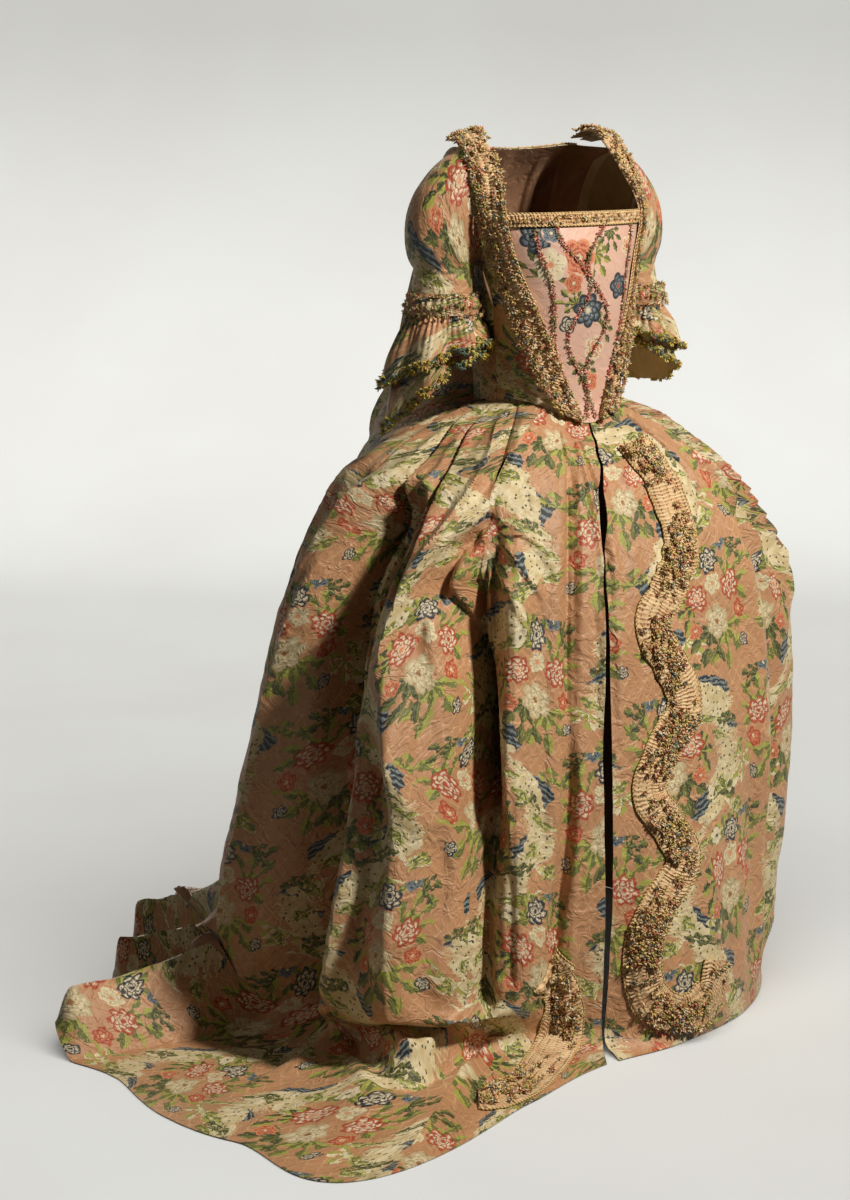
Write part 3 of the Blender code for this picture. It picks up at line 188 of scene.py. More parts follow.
# The loose sack back above the waist, from the neck down: points on the wearer's left.
SACK_ROWS = table(
    "name height armhole side_x side_y corner_x corner_y inner_x inner_y centre_y",
    ("neck", 1.338, 172.0, 0.128, 0.062, 0.094, 0.070, 0.050, 0.082, 0.088),
    ("shoulder", 1.290, 134.0, 0.134, 0.096, 0.100, 0.118, 0.052, 0.124, 0.124),
    ("blade", 1.220, 92.0, 0.136, 0.112, 0.110, 0.150, 0.056, 0.158, 0.154),
    ("underarm", 1.155, 50.0, 0.132, 0.110, 0.120, 0.172, 0.060, 0.180, 0.174),
    ("back", 1.080, 0.0, 0.126, 0.108, 0.128, 0.192, 0.064, 0.200, 0.192),
    ("small", 1.010, 0.0, 0.122, 0.102, 0.132, 0.208, 0.068, 0.214, 0.208),
)
SACK_COLUMNS = (0.0, 0.28, 0.52, 0.78, 1.0)  # share from the side edge to the middle of the back
# Two double box pleats: shares across half the back where each raised face starts and ends.
BOX_PLEATS = table("name start end", ("outer", 0.48, 0.66), ("inner", 0.74, 0.95))
BOX_EDGE = 0.018
BOX_DEPTHS = (
    (-6.0, 0.004), (-3.0, 0.010), (0.0, 0.014), (3.0, 0.022), (6.0, 0.034), (8.0, 0.026), (9.0, 0.012),
)

# Flounces at the elbow.
FLOUNCES = table(
    "name start radius short long flare",
    ("lower", 1.0894, 0.0420, 0.066, 0.198, 0.36),
    ("upper", 1.092, 0.0488, 0.050, 0.123, 0.56),
)
FLOUNCE_BODY_GAPS = (0.0100, 0.0062)
FLOUNCE_WAVES = 7
FLOUNCE_WAVE_DEPTH = 0.0070
FLOUNCE_LONG_DIRECTION = 128.0  # the drop is longest behind the elbow and outwards
FLOUNCE_SCALLOP = 0.005

# Serpentine trimming: (direction, ring level) places on the skirt.
TRIM_LEFT = (
    (20, 1.6), (19.5, 3.0), (18, 3.6), (9, 3.95), (0, 4.2), (5, 4.45), (9, 4.7), (-0.5, 4.95), (-6, 5.2),
    (0, 5.45), (4, 5.7), (-5.5, 6.05), (-9.5, 6.5), (-7.5, 7.2), (1, 7.65), (10, 7.5), (13, 6.8),
)
TRIM_RIGHT = ((-34, 6.5), (-31, 6.9), (-30, 7.4), (-32, 8.05), (-36.5, 8.50), (-41.0, 8.62), (-45.0, 8.50))


# ---------------------------------------------------------------- curves and fields
def spline(p0, p1, p2, p3, t):
    """Catmull-Rom curve between p1 and p2, with the neighbours p0 and p3."""
    square = (2 * p0 - 5 * p1 + 4 * p2 - p3) * t**2
    cube = (3 * p1 - p0 - 3 * p2 + p3) * t**3
    return 0.5 * (2 * p1 + (p2 - p0) * t + square + cube)


def catmull(values, at):
    """Catmull-Rom curve through rows of values, read at fractional row numbers."""
    values = np.asarray(values, float)
    at = np.clip(np.asarray(at, float), 0.0, len(values) - 1.0)
    k = np.minimum(at.astype(int), len(values) - 2)
    t = (at - k).reshape(at.shape + (1,) * (values.ndim - 1))
    before, after = np.maximum(k - 1, 0), np.minimum(k + 2, len(values) - 1)
    return spline(values[before], values[k], values[k + 1], values[after], t)


def catmull_across(rows, at):
    """The same curve through the points of each place's own row, read at fractional column numbers."""
    columns = np.moveaxis(rows, -2, 0)
    last = len(columns) - 1
    k = np.minimum(at.astype(int), last - 1)

    def column(index):
        return np.take_along_axis(columns, index[None, ..., None], 0)[0]

    before, after = column(np.maximum(k - 1, 0)), column(np.minimum(k + 2, last))
    return spline(before, column(k), column(k + 1), after, (at - k)[..., None])


def unit(vectors):
    """Vectors brought to length 1."""
    return vectors / np.maximum(np.linalg.norm(vectors, axis=-1, keepdims=True), 1e-12)


def facing(vectors, towards):
    """Vectors, each turned round where it doesn't point the given way."""
    return vectors * np.sign((vectors * towards).sum(-1, keepdims=True))


def run_along(path):
    """Lengths along a path of points, from its start."""
    return np.concatenate([[0.0], np.cumsum(np.linalg.norm(np.diff(path, axis=0), axis=1))])


def smooth(x, low, high):
    """Rises smoothly from 0 at low to 1 at high."""
    t = np.clip((x - low) / (high - low), 0.0, 1.0)
    return t * t * (3 - 2 * t)


def bump(x):
    """A rounded ridge: 1 at 0, and 0 from 1 outwards."""
    return 0.5 + 0.5 * np.cos(np.pi * np.clip(x, -1.0, 1.0))


def crest(x, ridge):
    """The section of a large fold: a ridge comes to a soft edge, a hollow stays round."""
    pointed = (1.0 - np.clip(np.abs(x), 0.0, 1.0)) ** 1.7
    return 0.5 * bump(x) + 0.5 * pointed if ridge else bump(x)


def stepped(table, level):
    """Smoothly joined values of a table of (level, value) pairs."""
    levels, values = zip(*table)
    k = np.clip(np.searchsorted(levels, level, side="right") - 1, 0, len(levels) - 2)
    low, high = np.asarray(levels)[k], np.asarray(levels)[k + 1]
    share = smooth(level, low, high)
    return np.asarray(values)[k] * (1 - share) + np.asarray(values)[k + 1] * share


def rumple(a, b, seed):
    """Smooth random height of two coordinates: random values at whole numbers, joined smoothly."""
    values = np.random.default_rng(seed).uniform(-1.0, 1.0, (64, 64))
    i, j = np.floor(a).astype(int), np.floor(b).astype(int)
    s, t = smooth(a - i, 0.0, 1.0), smooth(b - j, 0.0, 1.0)

    def corner(di, dj):
        return values[(i + di) % 64, (j + dj) % 64]

    low = corner(0, 0) * (1 - s) + corner(1, 0) * s
    high = corner(0, 1) * (1 - s) + corner(1, 1) * s
    return low * (1 - t) + high * t


def wrapped(degrees):
    """Directions brought to between -180 and 180 degrees."""
    return (degrees + 180.0) % 360.0 - 180.0


def polar(radius, degrees, height):
    """Points round the body's axis: 0 degrees is the front, -Y, and 90 the wearer's left, +X."""
    a = np.radians(degrees)
    return np.stack([radius * np.sin(a), -radius * np.cos(a), height + 0 * a], -1)


RING_SIZES = np.array([ring[1:] for ring in SKIRT_RINGS]) / 1000.0
RING_HEIGHTS, RING_DIPS, RING_RADII = RING_SIZES[:, 0], RING_SIZES[:, 1], RING_SIZES[:, 2:]


def ring_radius(degrees, level):
    """Radius of the skirt: a periodic curve through a ring's columns, and a curve down the rings."""
    column = (degrees % 360.0) / DIRECTION_STEP
    columns = RING_RADII.shape[1]
    k = column.astype(int)
    rows = spline(*(RING_RADII[:, (k + step) % columns] for step in (-1, 0, 1, 2)), column - k)
    flat = rows.reshape(len(rows), -1)
    at = level.reshape(-1)
    k = np.minimum(at.astype(int), LAST - 1)
    here = np.arange(at.size)
    before, after = flat[np.maximum(k - 1, 0), here], flat[np.minimum(k + 2, LAST), here]
    radius = spline(before, flat[k, here], flat[k + 1, here], after, at - k).reshape(degrees.shape)
    for corner in HEM_CORNERS:
        reach = corner.reach * bump(wrapped(degrees - corner.direction) / corner.half_width)
        radius = radius + reach * smooth(level, LAST - 1, LAST)
    return radius


def fold_depth(degrees, level):
    """Sum of the large folds: each runs along a curved line of directions and fades at its ends."""
    depth = np.zeros_like(degrees)
    for fold in SKIRT_FOLDS:
        share = np.clip((level - fold.top) / (fold.foot - fold.top), 0.0, 1.0)
        middle = (
            fold.top_deg * (1 - share) * (1 - 2 * share)
            + fold.mid_deg * 4 * share * (1 - share)
            + fold.foot_deg * share * (2 * share - 1)
        )
        window = smooth(level, fold.top, fold.top + 1.1) * (1 - smooth(level, fold.foot - 0.8, fold.foot))
        depth += fold.depth * window * crest(wrapped(degrees - middle) / fold.half_width, fold.depth > 0)
    return depth


def pleat_depth(degrees, level):
    """Knife pleats at the waist of the side skirts, fading out over the hip."""
    away = np.abs(wrapped(degrees))
    share = (away - PLEAT_FROM) / (PLEAT_TO - PLEAT_FROM)
    inside = smooth(share, 0.0, 0.06) * (1 - smooth(share, 0.94, 1.0))
    wave = np.sin(2 * np.pi * PLEATS_A_SIDE * share)
    return PLEAT_DEPTH * wave * inside * smooth(level, 0.25, 1.0) * (1 - smooth(level, 1.6, PLEAT_FOOT))


def sack_share(degrees, level):
    """How far across half the sack back a direction lies: 0 at its seam, 1 at the middle."""
    seam = stepped(BACK_SEAM, np.clip(level, 0.0, LAST))
    return np.clip((np.abs(wrapped(degrees)) - seam) / (180.0 - seam), 0.0, 1.0)


def box_pleats(share, level):
    """Raised faces of the double box pleats across half the back."""
    raised = np.zeros_like(share)
    for pleat in BOX_PLEATS:
        raised += smooth(share, pleat.start - BOX_EDGE, pleat.start + BOX_EDGE)
        raised -= smooth(share, pleat.end - BOX_EDGE, pleat.end + BOX_EDGE)
    faded = smooth(share, 0.0, 0.2)
    return (raised - 0.45 * faded) * stepped(BOX_DEPTHS, level)


# Lengths down the cloth from the waist to each ring, and the mean radius that turns directions into
# lengths round it.
RING_RUNS = (0.0, 0.028, 0.080, 0.160, 0.315, 0.560, 0.780, 0.915, 1.000, 1.180)
CREASE_RADIUS = 0.42

# Sharp creases: each is a crest along a line of (direction, level) places, or a groove where depth is
# negative. left and right are its widths either side of the way down the line, and the dips are the
# troughs beside it, in millimetres. sides is 2 for a crease that both halves of the skirt have.
DIP_REACH = 0.020
CREASES = table(
    "name sides depth left right left_dip right_dip line",
    ("waist_groove_a", 2, -50, 26, 9, 0, 0,
     ((-89, 0.3), (-80, 1.8), (-81, 3), (-84.5, 3.7), (-86.2, 4.2), (-87, 4.7), (-88, 5.3))),
    ("waist_edge_a", 1, 11, 6, 16, 8, 0,
     ((-69, 1.9), (-73, 2.7), (-79, 3.3), (-82, 3.7), (-83.5, 4.1), (-84, 4.5))),
    ("waist_groove_b", 2, -40, 20, 8, 0, 0,
     ((-76, 0.4), (-69.5, 1.9), (-67.6, 2.8), (-66.6, 3.4), (-65, 4))),
    ("waist_edge_c", 2, 20, 22, 8, 0, 12,
     ((-62, 0.3), (-56.5, 1.5), (-56.5, 2.4), (-59, 3), (-62, 3.5), (-64.5, 4), (-66, 4.5))),
    ("waist_groove_d", 2, -36, 20, 9, 0, 0, ((-102, 0.3), (-96, 1.6), (-95, 2.6), (-97, 3.4), (-101, 4.1))),
    ("waist_groove_e", 2, -24, 14, 8, 0, 0,
     ((-113, 0.3), (-109, 1.6), (-110, 2.6), (-114, 3.5), (-118, 4.3))),
    ("outer_groove", 1, -18, 10, 16, 0, 0,
     ((-98, 3.3), (-103, 3.9), (-107, 4.5), (-110, 5.1), (-111, 5.8), (-110, 6.4))),
    ("side_ridge", 2, 26, 22, 50, 0, 0,
     ((-89.5, 3.5), (-93.4, 4.2), (-97, 4.7), (-98.8, 5.1), (-99.8, 5.7), (-101.5, 6.4), (-101, 7.2))),
    ("swag_lip", 1, 16, 30, 12, 0, 28,
     ((-52.2, 2.8), (-56.8, 3.2), (-60.6, 3.47), (-62.8, 3.73), (-62.2, 3.93), (-58.6, 4.12), (-55.4, 4.33),
      (-53, 4.55), (-51, 4.85), (-50, 5.2))),
    ("swag_inner", 1, 12, 12, 26, 12, 0,
     ((-51.4, 3.46), (-55.8, 3.56), (-58.4, 3.72), (-56.6, 3.89), (-54.4, 4.02), (-52, 4.22),
      (-48.8, 4.36))),
    ("hollow", 1, -52, 44, 20, 0, 0, ((-53.5, 3.7), (-52.5, 4.2), (-50.5, 4.6), (-48, 4.95), (-46, 5.3))),
    ("hollow_closes", 1, 40, 34, 26, 0, 0, ((-47, 4.9), (-48.5, 5.4), (-49, 6.1), (-49.5, 7), (-50, 7.8))),
    ("panel_edge", 1, 16, 6, 34, 14, 0,
     ((-51, 3.38), (-50, 3.88), (-48.4, 4.25), (-46, 4.57), (-44.4, 4.89), (-42.4, 5.24), (-42, 5.7))),
    ("gather_one", 1, 7, 7, 8, 0, 6, ((-51.2, 3.42), (-44.6, 3.48), (-40, 3.71), (-35.4, 3.96))),
    ("gather_two", 1, 8, 6, 8, 6, 0, ((-51.2, 3.44), (-52.2, 3.73), (-53.8, 3.95))),
    ("gather_three", 1, 6, 8, 7, 0, 5, ((-51, 3.47), (-47.4, 3.68), (-41.4, 3.98), (-38.6, 4.3))),
    ("gather_four", 1, 6, 7, 7, 4, 0, ((-51.2, 3.4), (-47, 3.3), (-41, 3.32), (-35, 3.5))),
    ("gather_five", 1, 6, 6, 7, 0, 4, ((-51, 3.4), (-54.5, 3.3), (-57.5, 3.42))),
    ("front_fold", 1, 10, 22, 8, 0, 10,
     ((-16, 1), (-17.2, 1.6), (-17.4, 2.9), (-16.8, 3.7), (-18.6, 4.3), (-20, 5))),
    ("front_fold_two", 1, -7, 10, 12, 0, 0, ((-27, 0.8), (-26, 2), (-27, 3), (-29, 3.9), (-30, 4.8))),
    ("vertical_edge", 1, 9, 28, 6, 0, 12,
     ((-44.6, 5), (-44.8, 5.5), (-44.8, 5.8), (-44.8, 6.25), (-44.6, 6.8))),
    ("front_pleat", 1, 10, 30, 6, 0, 11,
     ((-31.6, 4.8), (-32.2, 5.4), (-34.4, 5.85), (-36, 6.4), (-36.6, 7.4))),
    ("bottom_tuck", 1, 16, 7, 32, 22, 0,
     ((-72, 6.6), (-70.4, 7.1), (-68, 7.75), (-58.4, 8.16), (-54.4, 8.03), (-50.2, 7.25), (-44, 7.15),
      (-37.2, 7.4))),
    ("pouf_edge", 1, 12, 7, 30, 10, 0,
     ((-83, 4), (-77, 4.3), (-71, 4.6), (-69.3, 4.9), (-69.6, 5.3), (-69.8, 5.75), (-70.8, 6.3),
      (-71.4, 6.9))),
    ("pouf_soft_a", 1, 8, 24, 30, 0, 0, ((-62, 4.5), (-61, 5.1), (-59, 5.6), (-60, 6.2))),
    ("pouf_soft_b", 1, -14, 20, 24, 0, 0, ((-66, 4.8), (-64, 5.4), (-66, 6), (-63, 6.6))),
    ("pouf_soft_c", 1, -14, 18, 22, 0, 0, ((-55, 5.2), (-54, 5.8), (-56, 6.4), (-53, 7))),
    ("left_fold_a", 1, -20, 14, 10, 0, 0, ((33, 0.7), (36, 1.8), (37, 2.7), (36, 3.4))),
    ("left_fold_b", 1, 15, 12, 12, 6, 6, ((46, 2.3), (50, 2.9), (53, 3.6), (55, 4.4))),
    ("train_crease_a", 1, -10, 14, 14, 0, 0, ((-96, 6.9), (-93, 7.7), (-92, 8.4))),
    ("train_crease_b", 1, 7, 12, 20, 0, 0, ((-84, 7.2), (-80, 7.9), (-78, 8.5))),
)


def on_flat_cloth(degrees, level):
    """Where a place lies in the flat cloth: lengths round the skirt, and down it from the waist."""
    return np.radians(degrees) * CREASE_RADIUS, np.interp(level, np.arange(LAST + 1.0), RING_RUNS)


def nearest_on_line(x, y, px, py):
    """How far places lie from a line of points, to its right where positive, and the share of the
    line's length at the nearest point."""
    near, away, share = np.full_like(x, 1e3), np.zeros_like(x), np.zeros_like(x)
    for k in range(len(px) - 1):
        dx, dy = px[k + 1] - px[k], py[k + 1] - py[k]
        t = np.clip(((x - px[k]) * dx + (y - py[k]) * dy) / (dx * dx + dy * dy), 0.0, 1.0)
        ox, oy = x - px[k] - t * dx, y - py[k] - t * dy
        distance = np.hypot(ox, oy)
        closer = distance < near
        near = np.where(closer, distance, near)
        away = np.where(closer, distance * np.sign(dx * oy - dy * ox), away)
        share = np.where(closer, (k + t) / (len(px) - 1), share)
    return near, away, share


def crease_depth(degrees, level):
    """Sum of the creases: a place's height comes from its distance to the nearest stretch of each
    line, pointed on the line and rounded in the dips, and fades at the line's ends."""
    x, y = on_flat_cloth(degrees, level)
    depth = np.zeros_like(x)
    for crease in CREASES:
        places = len(crease.line)
        px, py = on_flat_cloth(*catmull(crease.line, np.linspace(0, places - 1, 4 * places)).T)
        for hand in (1, -1)[: crease.sides]:
            near, away, share = nearest_on_line(x * hand, -y, px, -py)
            ends = smooth(share, 0.0, 0.15) * (1 - smooth(share, 0.84, 1.0))
            width = np.where(away < 0, crease.left, crease.right) / 1000.0
            dip = np.where(away < 0, crease.left_dip, crease.right_dip)
            inside = np.clip(near / width, 0.0, 1.0)
            crestline = (1.0 - inside) ** 1.5 if crease.depth > 0 else bump(inside)
            trough = bump((near - width - 0.75 * DIP_REACH) / DIP_REACH)
            depth += ends * (crease.depth * crestline - dip * trough) / 1000.0
    return depth


def soft_wrinkles(degrees, level):
    """Small unevenness of the hanging silk, longer down the cloth than across it."""
    x, y = on_flat_cloth(degrees, level)
    wide = 0.0034 * rumple(x / 0.045 + 7.3, y / 0.15 + 3.1, 1)
    middling = 0.0018 * rumple(x / 0.019 + y / 0.21, y / 0.055, 2)
    fine = 0.0009 * rumple(x / 0.011 - y / 0.05, y / 0.017 + x / 0.06, 3)
    return (wide + middling + fine) * smooth(level, 0.4, 2.5) * (1 - 0.6 * smooth(level, 8.6, 9.0))


# How much further the cloth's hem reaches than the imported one, by direction.
HEM_EASE = (
    (-105.0, 0.0), (-98.0, 0.010), (-90.0, 0.018), (-84.0, 0.012), (-76.0, 0.0), (-66.0, -0.006),
    (-60.0, 0.0), (-50.0, 0.016), (-44.0, 0.024), (-36.0, 0.022), (-28.0, 0.006), (-22.0, 0.0),
)
EASE_LEVELS = (7.6, 9.0)
HEM_LEVELS = (8.82, 9.0)
HEM_FLATTENED = 0.55  # share of a ridge's height that is lost at the very hem
LYING = np.radians(82.0)  # how far a fold's push has turned upwards on the floor
LYING_LEVELS = (6.6, 8.3)
HOLLOW_MOST = 0.012  # a hollow goes no deeper than this into the cloth on the floor


def skirt(degrees, level, creased=True):
    """The skirt's cloth: direction and ring level to a point. Folds push it outwards where it hangs
    and upwards where it lies on the floor."""
    degrees, level = np.broadcast_arrays(np.asarray(degrees, float), np.asarray(level, float))
    radius = ring_radius(degrees, level)
    dip = bump(wrapped(degrees) / DIP_HALF_WIDTH)
    height = catmull(RING_HEIGHTS, level) - catmull(RING_DIPS, level) * dip
    push = fold_depth(degrees, level) + pleat_depth(degrees, level)
    push = push + box_pleats(sack_share(degrees, level), level)
    if creased:
        push = push + crease_depth(degrees, level) + soft_wrinkles(degrees, level)
        push = push * (1 - HEM_FLATTENED * smooth(level, *HEM_LEVELS) * (push > 0))
        ease = np.interp(wrapped(degrees), *zip(*HEM_EASE), left=0.0, right=0.0)
        radius = radius + ease * smooth(level, *EASE_LEVELS)
    lying = LYING * smooth(level, *LYING_LEVELS)
    radius = radius + push * np.cos(lying)
    height = np.maximum(height, 0.0) + np.maximum(push, -HOLLOW_MOST) * np.sin(lying)
    return polar(radius, degrees, np.maximum(height, FLOOR_CLEAR))


def torso_radius(degrees, height):
    """Superellipse section of the fitted body."""
    half_width, front, back = (
        np.interp(height, *zip(*((section.height, getattr(section, side)) for section in TORSO)))
        for side in ("half_width", "front", "back")
    )
    sine, cosine = np.sin(np.radians(degrees)), np.cos(np.radians(degrees))
    depth = np.where(cosine > 0, front, back)
    total = (np.abs(sine) / half_width) ** TORSO_POWER + (np.abs(cosine) / depth) ** TORSO_POWER
    return total ** (-1 / TORSO_POWER)


def torso(degrees, height):
    """Point on the fitted body."""
    return polar(torso_radius(degrees, height), degrees, np.asarray(height, float))


def torso_direction(x, height):
    """Direction at which the front of the torso lies x to the side."""
    tries = np.linspace(0.0, 89.0, 179)
    found = torso(tries, np.full_like(tries, height))[:, 0]
    return float(np.interp(x, found, tries))


def sleeve(turn, around):
    """The wearer's left sleeve. turn 0 is the armhole and 1 the elbow; around is degrees from the
    underarm over the front to the shoulder and back."""
    turn, around = np.broadcast_arrays(np.asarray(turn, float), np.asarray(around, float))
    bend = smooth(turn, 0.0, SLEEVE_TURN)
    tilt = np.radians(ARMHOLE_TILT) * (1 - bend)
    length = ARMHOLE_HALF_HEIGHT + (SLEEVE_HALF_WIDTH - ARMHOLE_HALF_HEIGHT) * bend
    depth = ARMHOLE_HALF_DEPTH + (SLEEVE_HALF_DEPTH - ARMHOLE_HALF_DEPTH) * bend
    a = np.radians(around)
    reach = ARM_PIVOT_GAP + length * (1 - np.cos(a))
    down = np.clip((turn - SLEEVE_TURN) / (1 - SLEEVE_TURN), 0.0, 1.0)
    x = ARM_PIVOT[0] + reach * np.cos(tilt) + SLEEVE_OUT * down
    y = ARM_PIVOT[1] - depth * np.sin(a) + SLEEVE_FORWARD * down
    z = ARM_PIVOT[2] + reach * np.sin(tilt) - down * (ARM_PIVOT[2] - SLEEVE_END)
    return np.stack([x, y, z], -1)


def armhole(around):
    """Edge of the bodice round the sleeve: the sleeve's first ring, grown in its own plane."""
    a, tilt = np.radians(np.asarray(around, float)), np.radians(ARMHOLE_TILT)
    reach = ARM_PIVOT_GAP - ARMHOLE_EASE + (ARMHOLE_HALF_HEIGHT + ARMHOLE_EASE) * (1 - np.cos(a))
    y = ARM_PIVOT[1] - (ARMHOLE_HALF_DEPTH + ARMHOLE_EASE) * np.sin(a)
    return np.stack([ARM_PIVOT[0] + reach * np.cos(tilt), y, ARM_PIVOT[2] + reach * np.sin(tilt)], -1)


def elbow(height):
    """Middle of the sleeve's lower end."""
    x = ARM_PIVOT[0] + ARM_PIVOT_GAP + SLEEVE_HALF_WIDTH + SLEEVE_OUT + SLEEVE_CLEAR
    return np.array([x, ARM_PIVOT[1] + SLEEVE_FORWARD, height])


def clear_of_body(x, height, gap):
    """Keeps what hangs round the arm outside the bodice by a gap."""
    limit = np.interp(height, [s.height for s in TORSO], [s.half_width for s in TORSO]) + gap
    return limit + 0.5 * (x - limit + np.sqrt((x - limit) ** 2 + 0.003**2))


def waistline(degrees):
    """Height of the seam between bodice and skirt."""
    return RING_HEIGHTS[0] - RING_DIPS[0] * bump(wrapped(degrees) / DIP_HALF_WIDTH)


def front_rows():
    """Rows of five points across the half front: robing edge, robing middle, robing's outer edge,
    bodice middle, side seam or armhole. Below the underarm they close down to the waist's dip."""
    rows = []
    underarm = len(FRONT_ROWS) - 3
    for k, (row, width) in enumerate(zip(FRONT_ROWS, ROBING_WIDTHS)):
        inner = torso_direction(row.inner_x, row.height)
        outer = inner + np.degrees(width / torso_radius(inner, row.height))
        across = np.array([inner, (inner + outer) / 2, outer, (outer + SIDE_SEAM) / 2, SIDE_SEAM])
        share = (FRONT_ROWS[underarm].height - row.height) / (FRONT_ROWS[underarm].height - FRONT_FOOT)
        drop = waistline(across) + WAIST_GAP - FRONT_FOOT
        points = torso(across, row.height + max(share, 0.0) * drop)
        if k > underarm:
            points[4] = armhole(ARMHOLE_FRONT[k - underarm - 1])
            points[3] = (points[2] + points[4]) / 2
        rows.append(points)
    for k, row in enumerate(STRAP_ROWS):
        edge = np.array([row.inner_x, row.inner_y, row.inner_z])
        third = np.array([row.outer_x, row.outer_y, row.outer_z])
        last = armhole(ARMHOLE_FRONT[min(k + 2, len(ARMHOLE_FRONT) - 1)])
        middle = (edge + third) / 2 + np.array([0.0, -0.002, 0.002])
        rows.append([edge, middle, third, (third + last) / 2, last])
    return np.array(rows)


FRONT_GRID = front_rows()
STRAP_END = len(FRONT_GRID) - 1.0


def half_front(row, across):
    """The wearer's left front from waist to shoulder: row counts FRONT_ROWS then STRAP_ROWS, and
    across runs 0 to 1 over the robing and 1 to 2 over the bodice."""
    row, across = np.broadcast_arrays(np.asarray(row, float), np.asarray(across, float))
    return catmull_across(catmull(FRONT_GRID, row), np.clip(across * 2.0, 0.0, 4.0))


def sack_rows():
    """Rows of five points across half the sack back, from the neck to just under the waist."""
    rows = []
    for row in SACK_ROWS:
        edge = armhole(-row.armhole) if row.armhole else torso(BACK_SEAM[0][1], row.height)
        side = [row.side_x, row.side_y, (edge[2] + row.height) / 2 if row.armhole else row.height]
        corner = [row.corner_x, row.corner_y, row.height]
        inner = [row.inner_x, row.inner_y, row.height - 0.004]
        rows.append([edge, side, corner, inner, [0.0, row.centre_y, row.height - 0.006]])
    for level in (0, 1):
        seam = stepped(BACK_SEAM, level)
        degrees = seam + (180.0 - seam) * np.array(SACK_COLUMNS)
        radius = ring_radius(degrees, np.full(len(degrees), float(level)))
        rows.append(polar(radius, degrees, RING_HEIGHTS[level]))
    return np.array(rows)


SACK_GRID = sack_rows()
SACK_UPPER = len(SACK_ROWS)


def sack(share, level):
    """The sack back: share is -1 at its right seam, 0 in the middle and 1 at its left seam. Level is
    the skirt's, and below zero it climbs SACK_ROWS to the neck."""
    share, level = np.broadcast_arrays(np.asarray(share, float), np.asarray(level, float))
    inward, hand = 1.0 - np.abs(share), np.where(share < 0, -1.0, 1.0)
    seam = stepped(BACK_SEAM, np.clip(level, 0.0, LAST))
    lower = skirt(hand * (seam + (180.0 - seam) * inward), np.clip(level, 0.0, LAST))
    rows = catmull(SACK_GRID, np.clip(level, -SACK_UPPER, 0.0) + SACK_UPPER)
    upper = catmull_across(rows, np.interp(inward, SACK_COLUMNS, np.arange(len(SACK_COLUMNS))))
    pleats = box_pleats(inward, level) * smooth(level, -6.0, -5.0)
    upper = upper + unit(upper * LEVELLED) * pleats[..., None]
    upper[..., 0] *= hand
    return np.where((level < 0)[..., None], upper, lower)


# ---------------------------------------------------------------- panels between seams
def normals(surface, first, second, step):
    """Unit normals of a surface of two parameters, by central differences."""
    along = surface(first + step[0], second) - surface(first - step[0], second)
    across = surface(first, second + step[1]) - surface(first, second - step[1])
    return unit(np.cross(along, across))


def seam_shift(degrees, level, width):
    """Degrees that a width spans on the skirt at these directions."""
    return np.degrees(width / ring_radius(degrees, level))


def skirt_place(degrees, level):
    """The skirt, with its levels kept between the waist and the hem."""
    return skirt(degrees, np.clip(level, 0.0, LAST))


def seam_edge(seam, side, towards, half_gap):
    """One edge of a seam of the skirt: half a gap, which may change down it, from its middle."""

    def edge(level):
        middle = side * stepped(seam, level)
        return middle + towards * seam_shift(middle, level, half_gap(level))

    return edge


def opening_half(level):
    """Half the width of the front opening."""
    return stepped(OPENING_WIDTHS, level) / 2


def pocket_half(level):
    """Half the gap of the pocket seam, which opens into the pocket slit at the hip."""
    along = (2 * level - POCKET_TOP - POCKET_FOOT) / (POCKET_FOOT - POCKET_TOP)
    return SEAM_HALF_GAP + POCKET_WIDTH * bump(along) / 2


def sewn_half(level):
    """Half the gap of a sewn seam."""
    return SEAM_HALF_GAP + 0 * level


def side_panel(row, across):
    """Under the arm: row 0 is the waist and 1 the armhole; across runs from the side seam back."""
    row, across = np.broadcast_arrays(np.asarray(row, float), np.asarray(across, float))
    degrees = SIDE_SEAM + (BACK_SEAM[0][1] - SIDE_SEAM) * across
    foot = RING_HEIGHTS[0] + WAIST_GAP
    top = armhole(ARMHOLE_FRONT[0] - (ARMHOLE_FRONT[0] + SACK_ROWS[3].armhole) * across)
    below = torso(degrees, foot + (UNDERARM - foot) * row)
    blend = smooth(row, 0.55, 1.0)[..., None]
    mixed = below * (1 - blend) + top * blend
    mixed[..., 2] = foot + (top[..., 2] - foot) * row
    return mixed


def stomacher_surface(height, across):
    """The stomacher fills the front between the robings."""
    inner = np.interp(height, [r.height for r in FRONT_ROWS], [r.inner_x for r in FRONT_ROWS])
    edge = np.degrees(np.arctan2(inner + 0.006, torso_radius(0.0, height) * 0.93))
    return torso(edge * across, height)


def flounce_surface(flounce, gap):
    """A ruffled cone round the elbow, longest behind it: down the cloth, and degrees round."""

    def surface(down, around):
        down, around = np.broadcast_arrays(np.asarray(down, float), np.asarray(around, float))
        a = np.radians(around)
        share = 0.5 + 0.5 * np.cos(a - np.radians(FLOUNCE_LONG_DIRECTION))
        length = flounce.short + (flounce.long - flounce.short) * share**1.7
        length = length + FLOUNCE_SCALLOP * np.cos(FLOUNCE_WAVES * a)
        wave = FLOUNCE_WAVE_DEPTH * np.cos(FLOUNCE_WAVES * a) * smooth(down, 0.0, 0.7)
        spread = flounce.flare * (down - 0.35 * down**2) * length
        radius = flounce.radius + spread + wave
        middle = elbow(flounce.start)
        x = middle[0] + radius * np.sin(a)
        y = middle[1] - radius * np.cos(a)
        z = middle[2] - length * (0.80 * down + 0.12 * down**2)
        return np.stack([clear_of_body(x, z, gap), y, z], -1)

    return surface


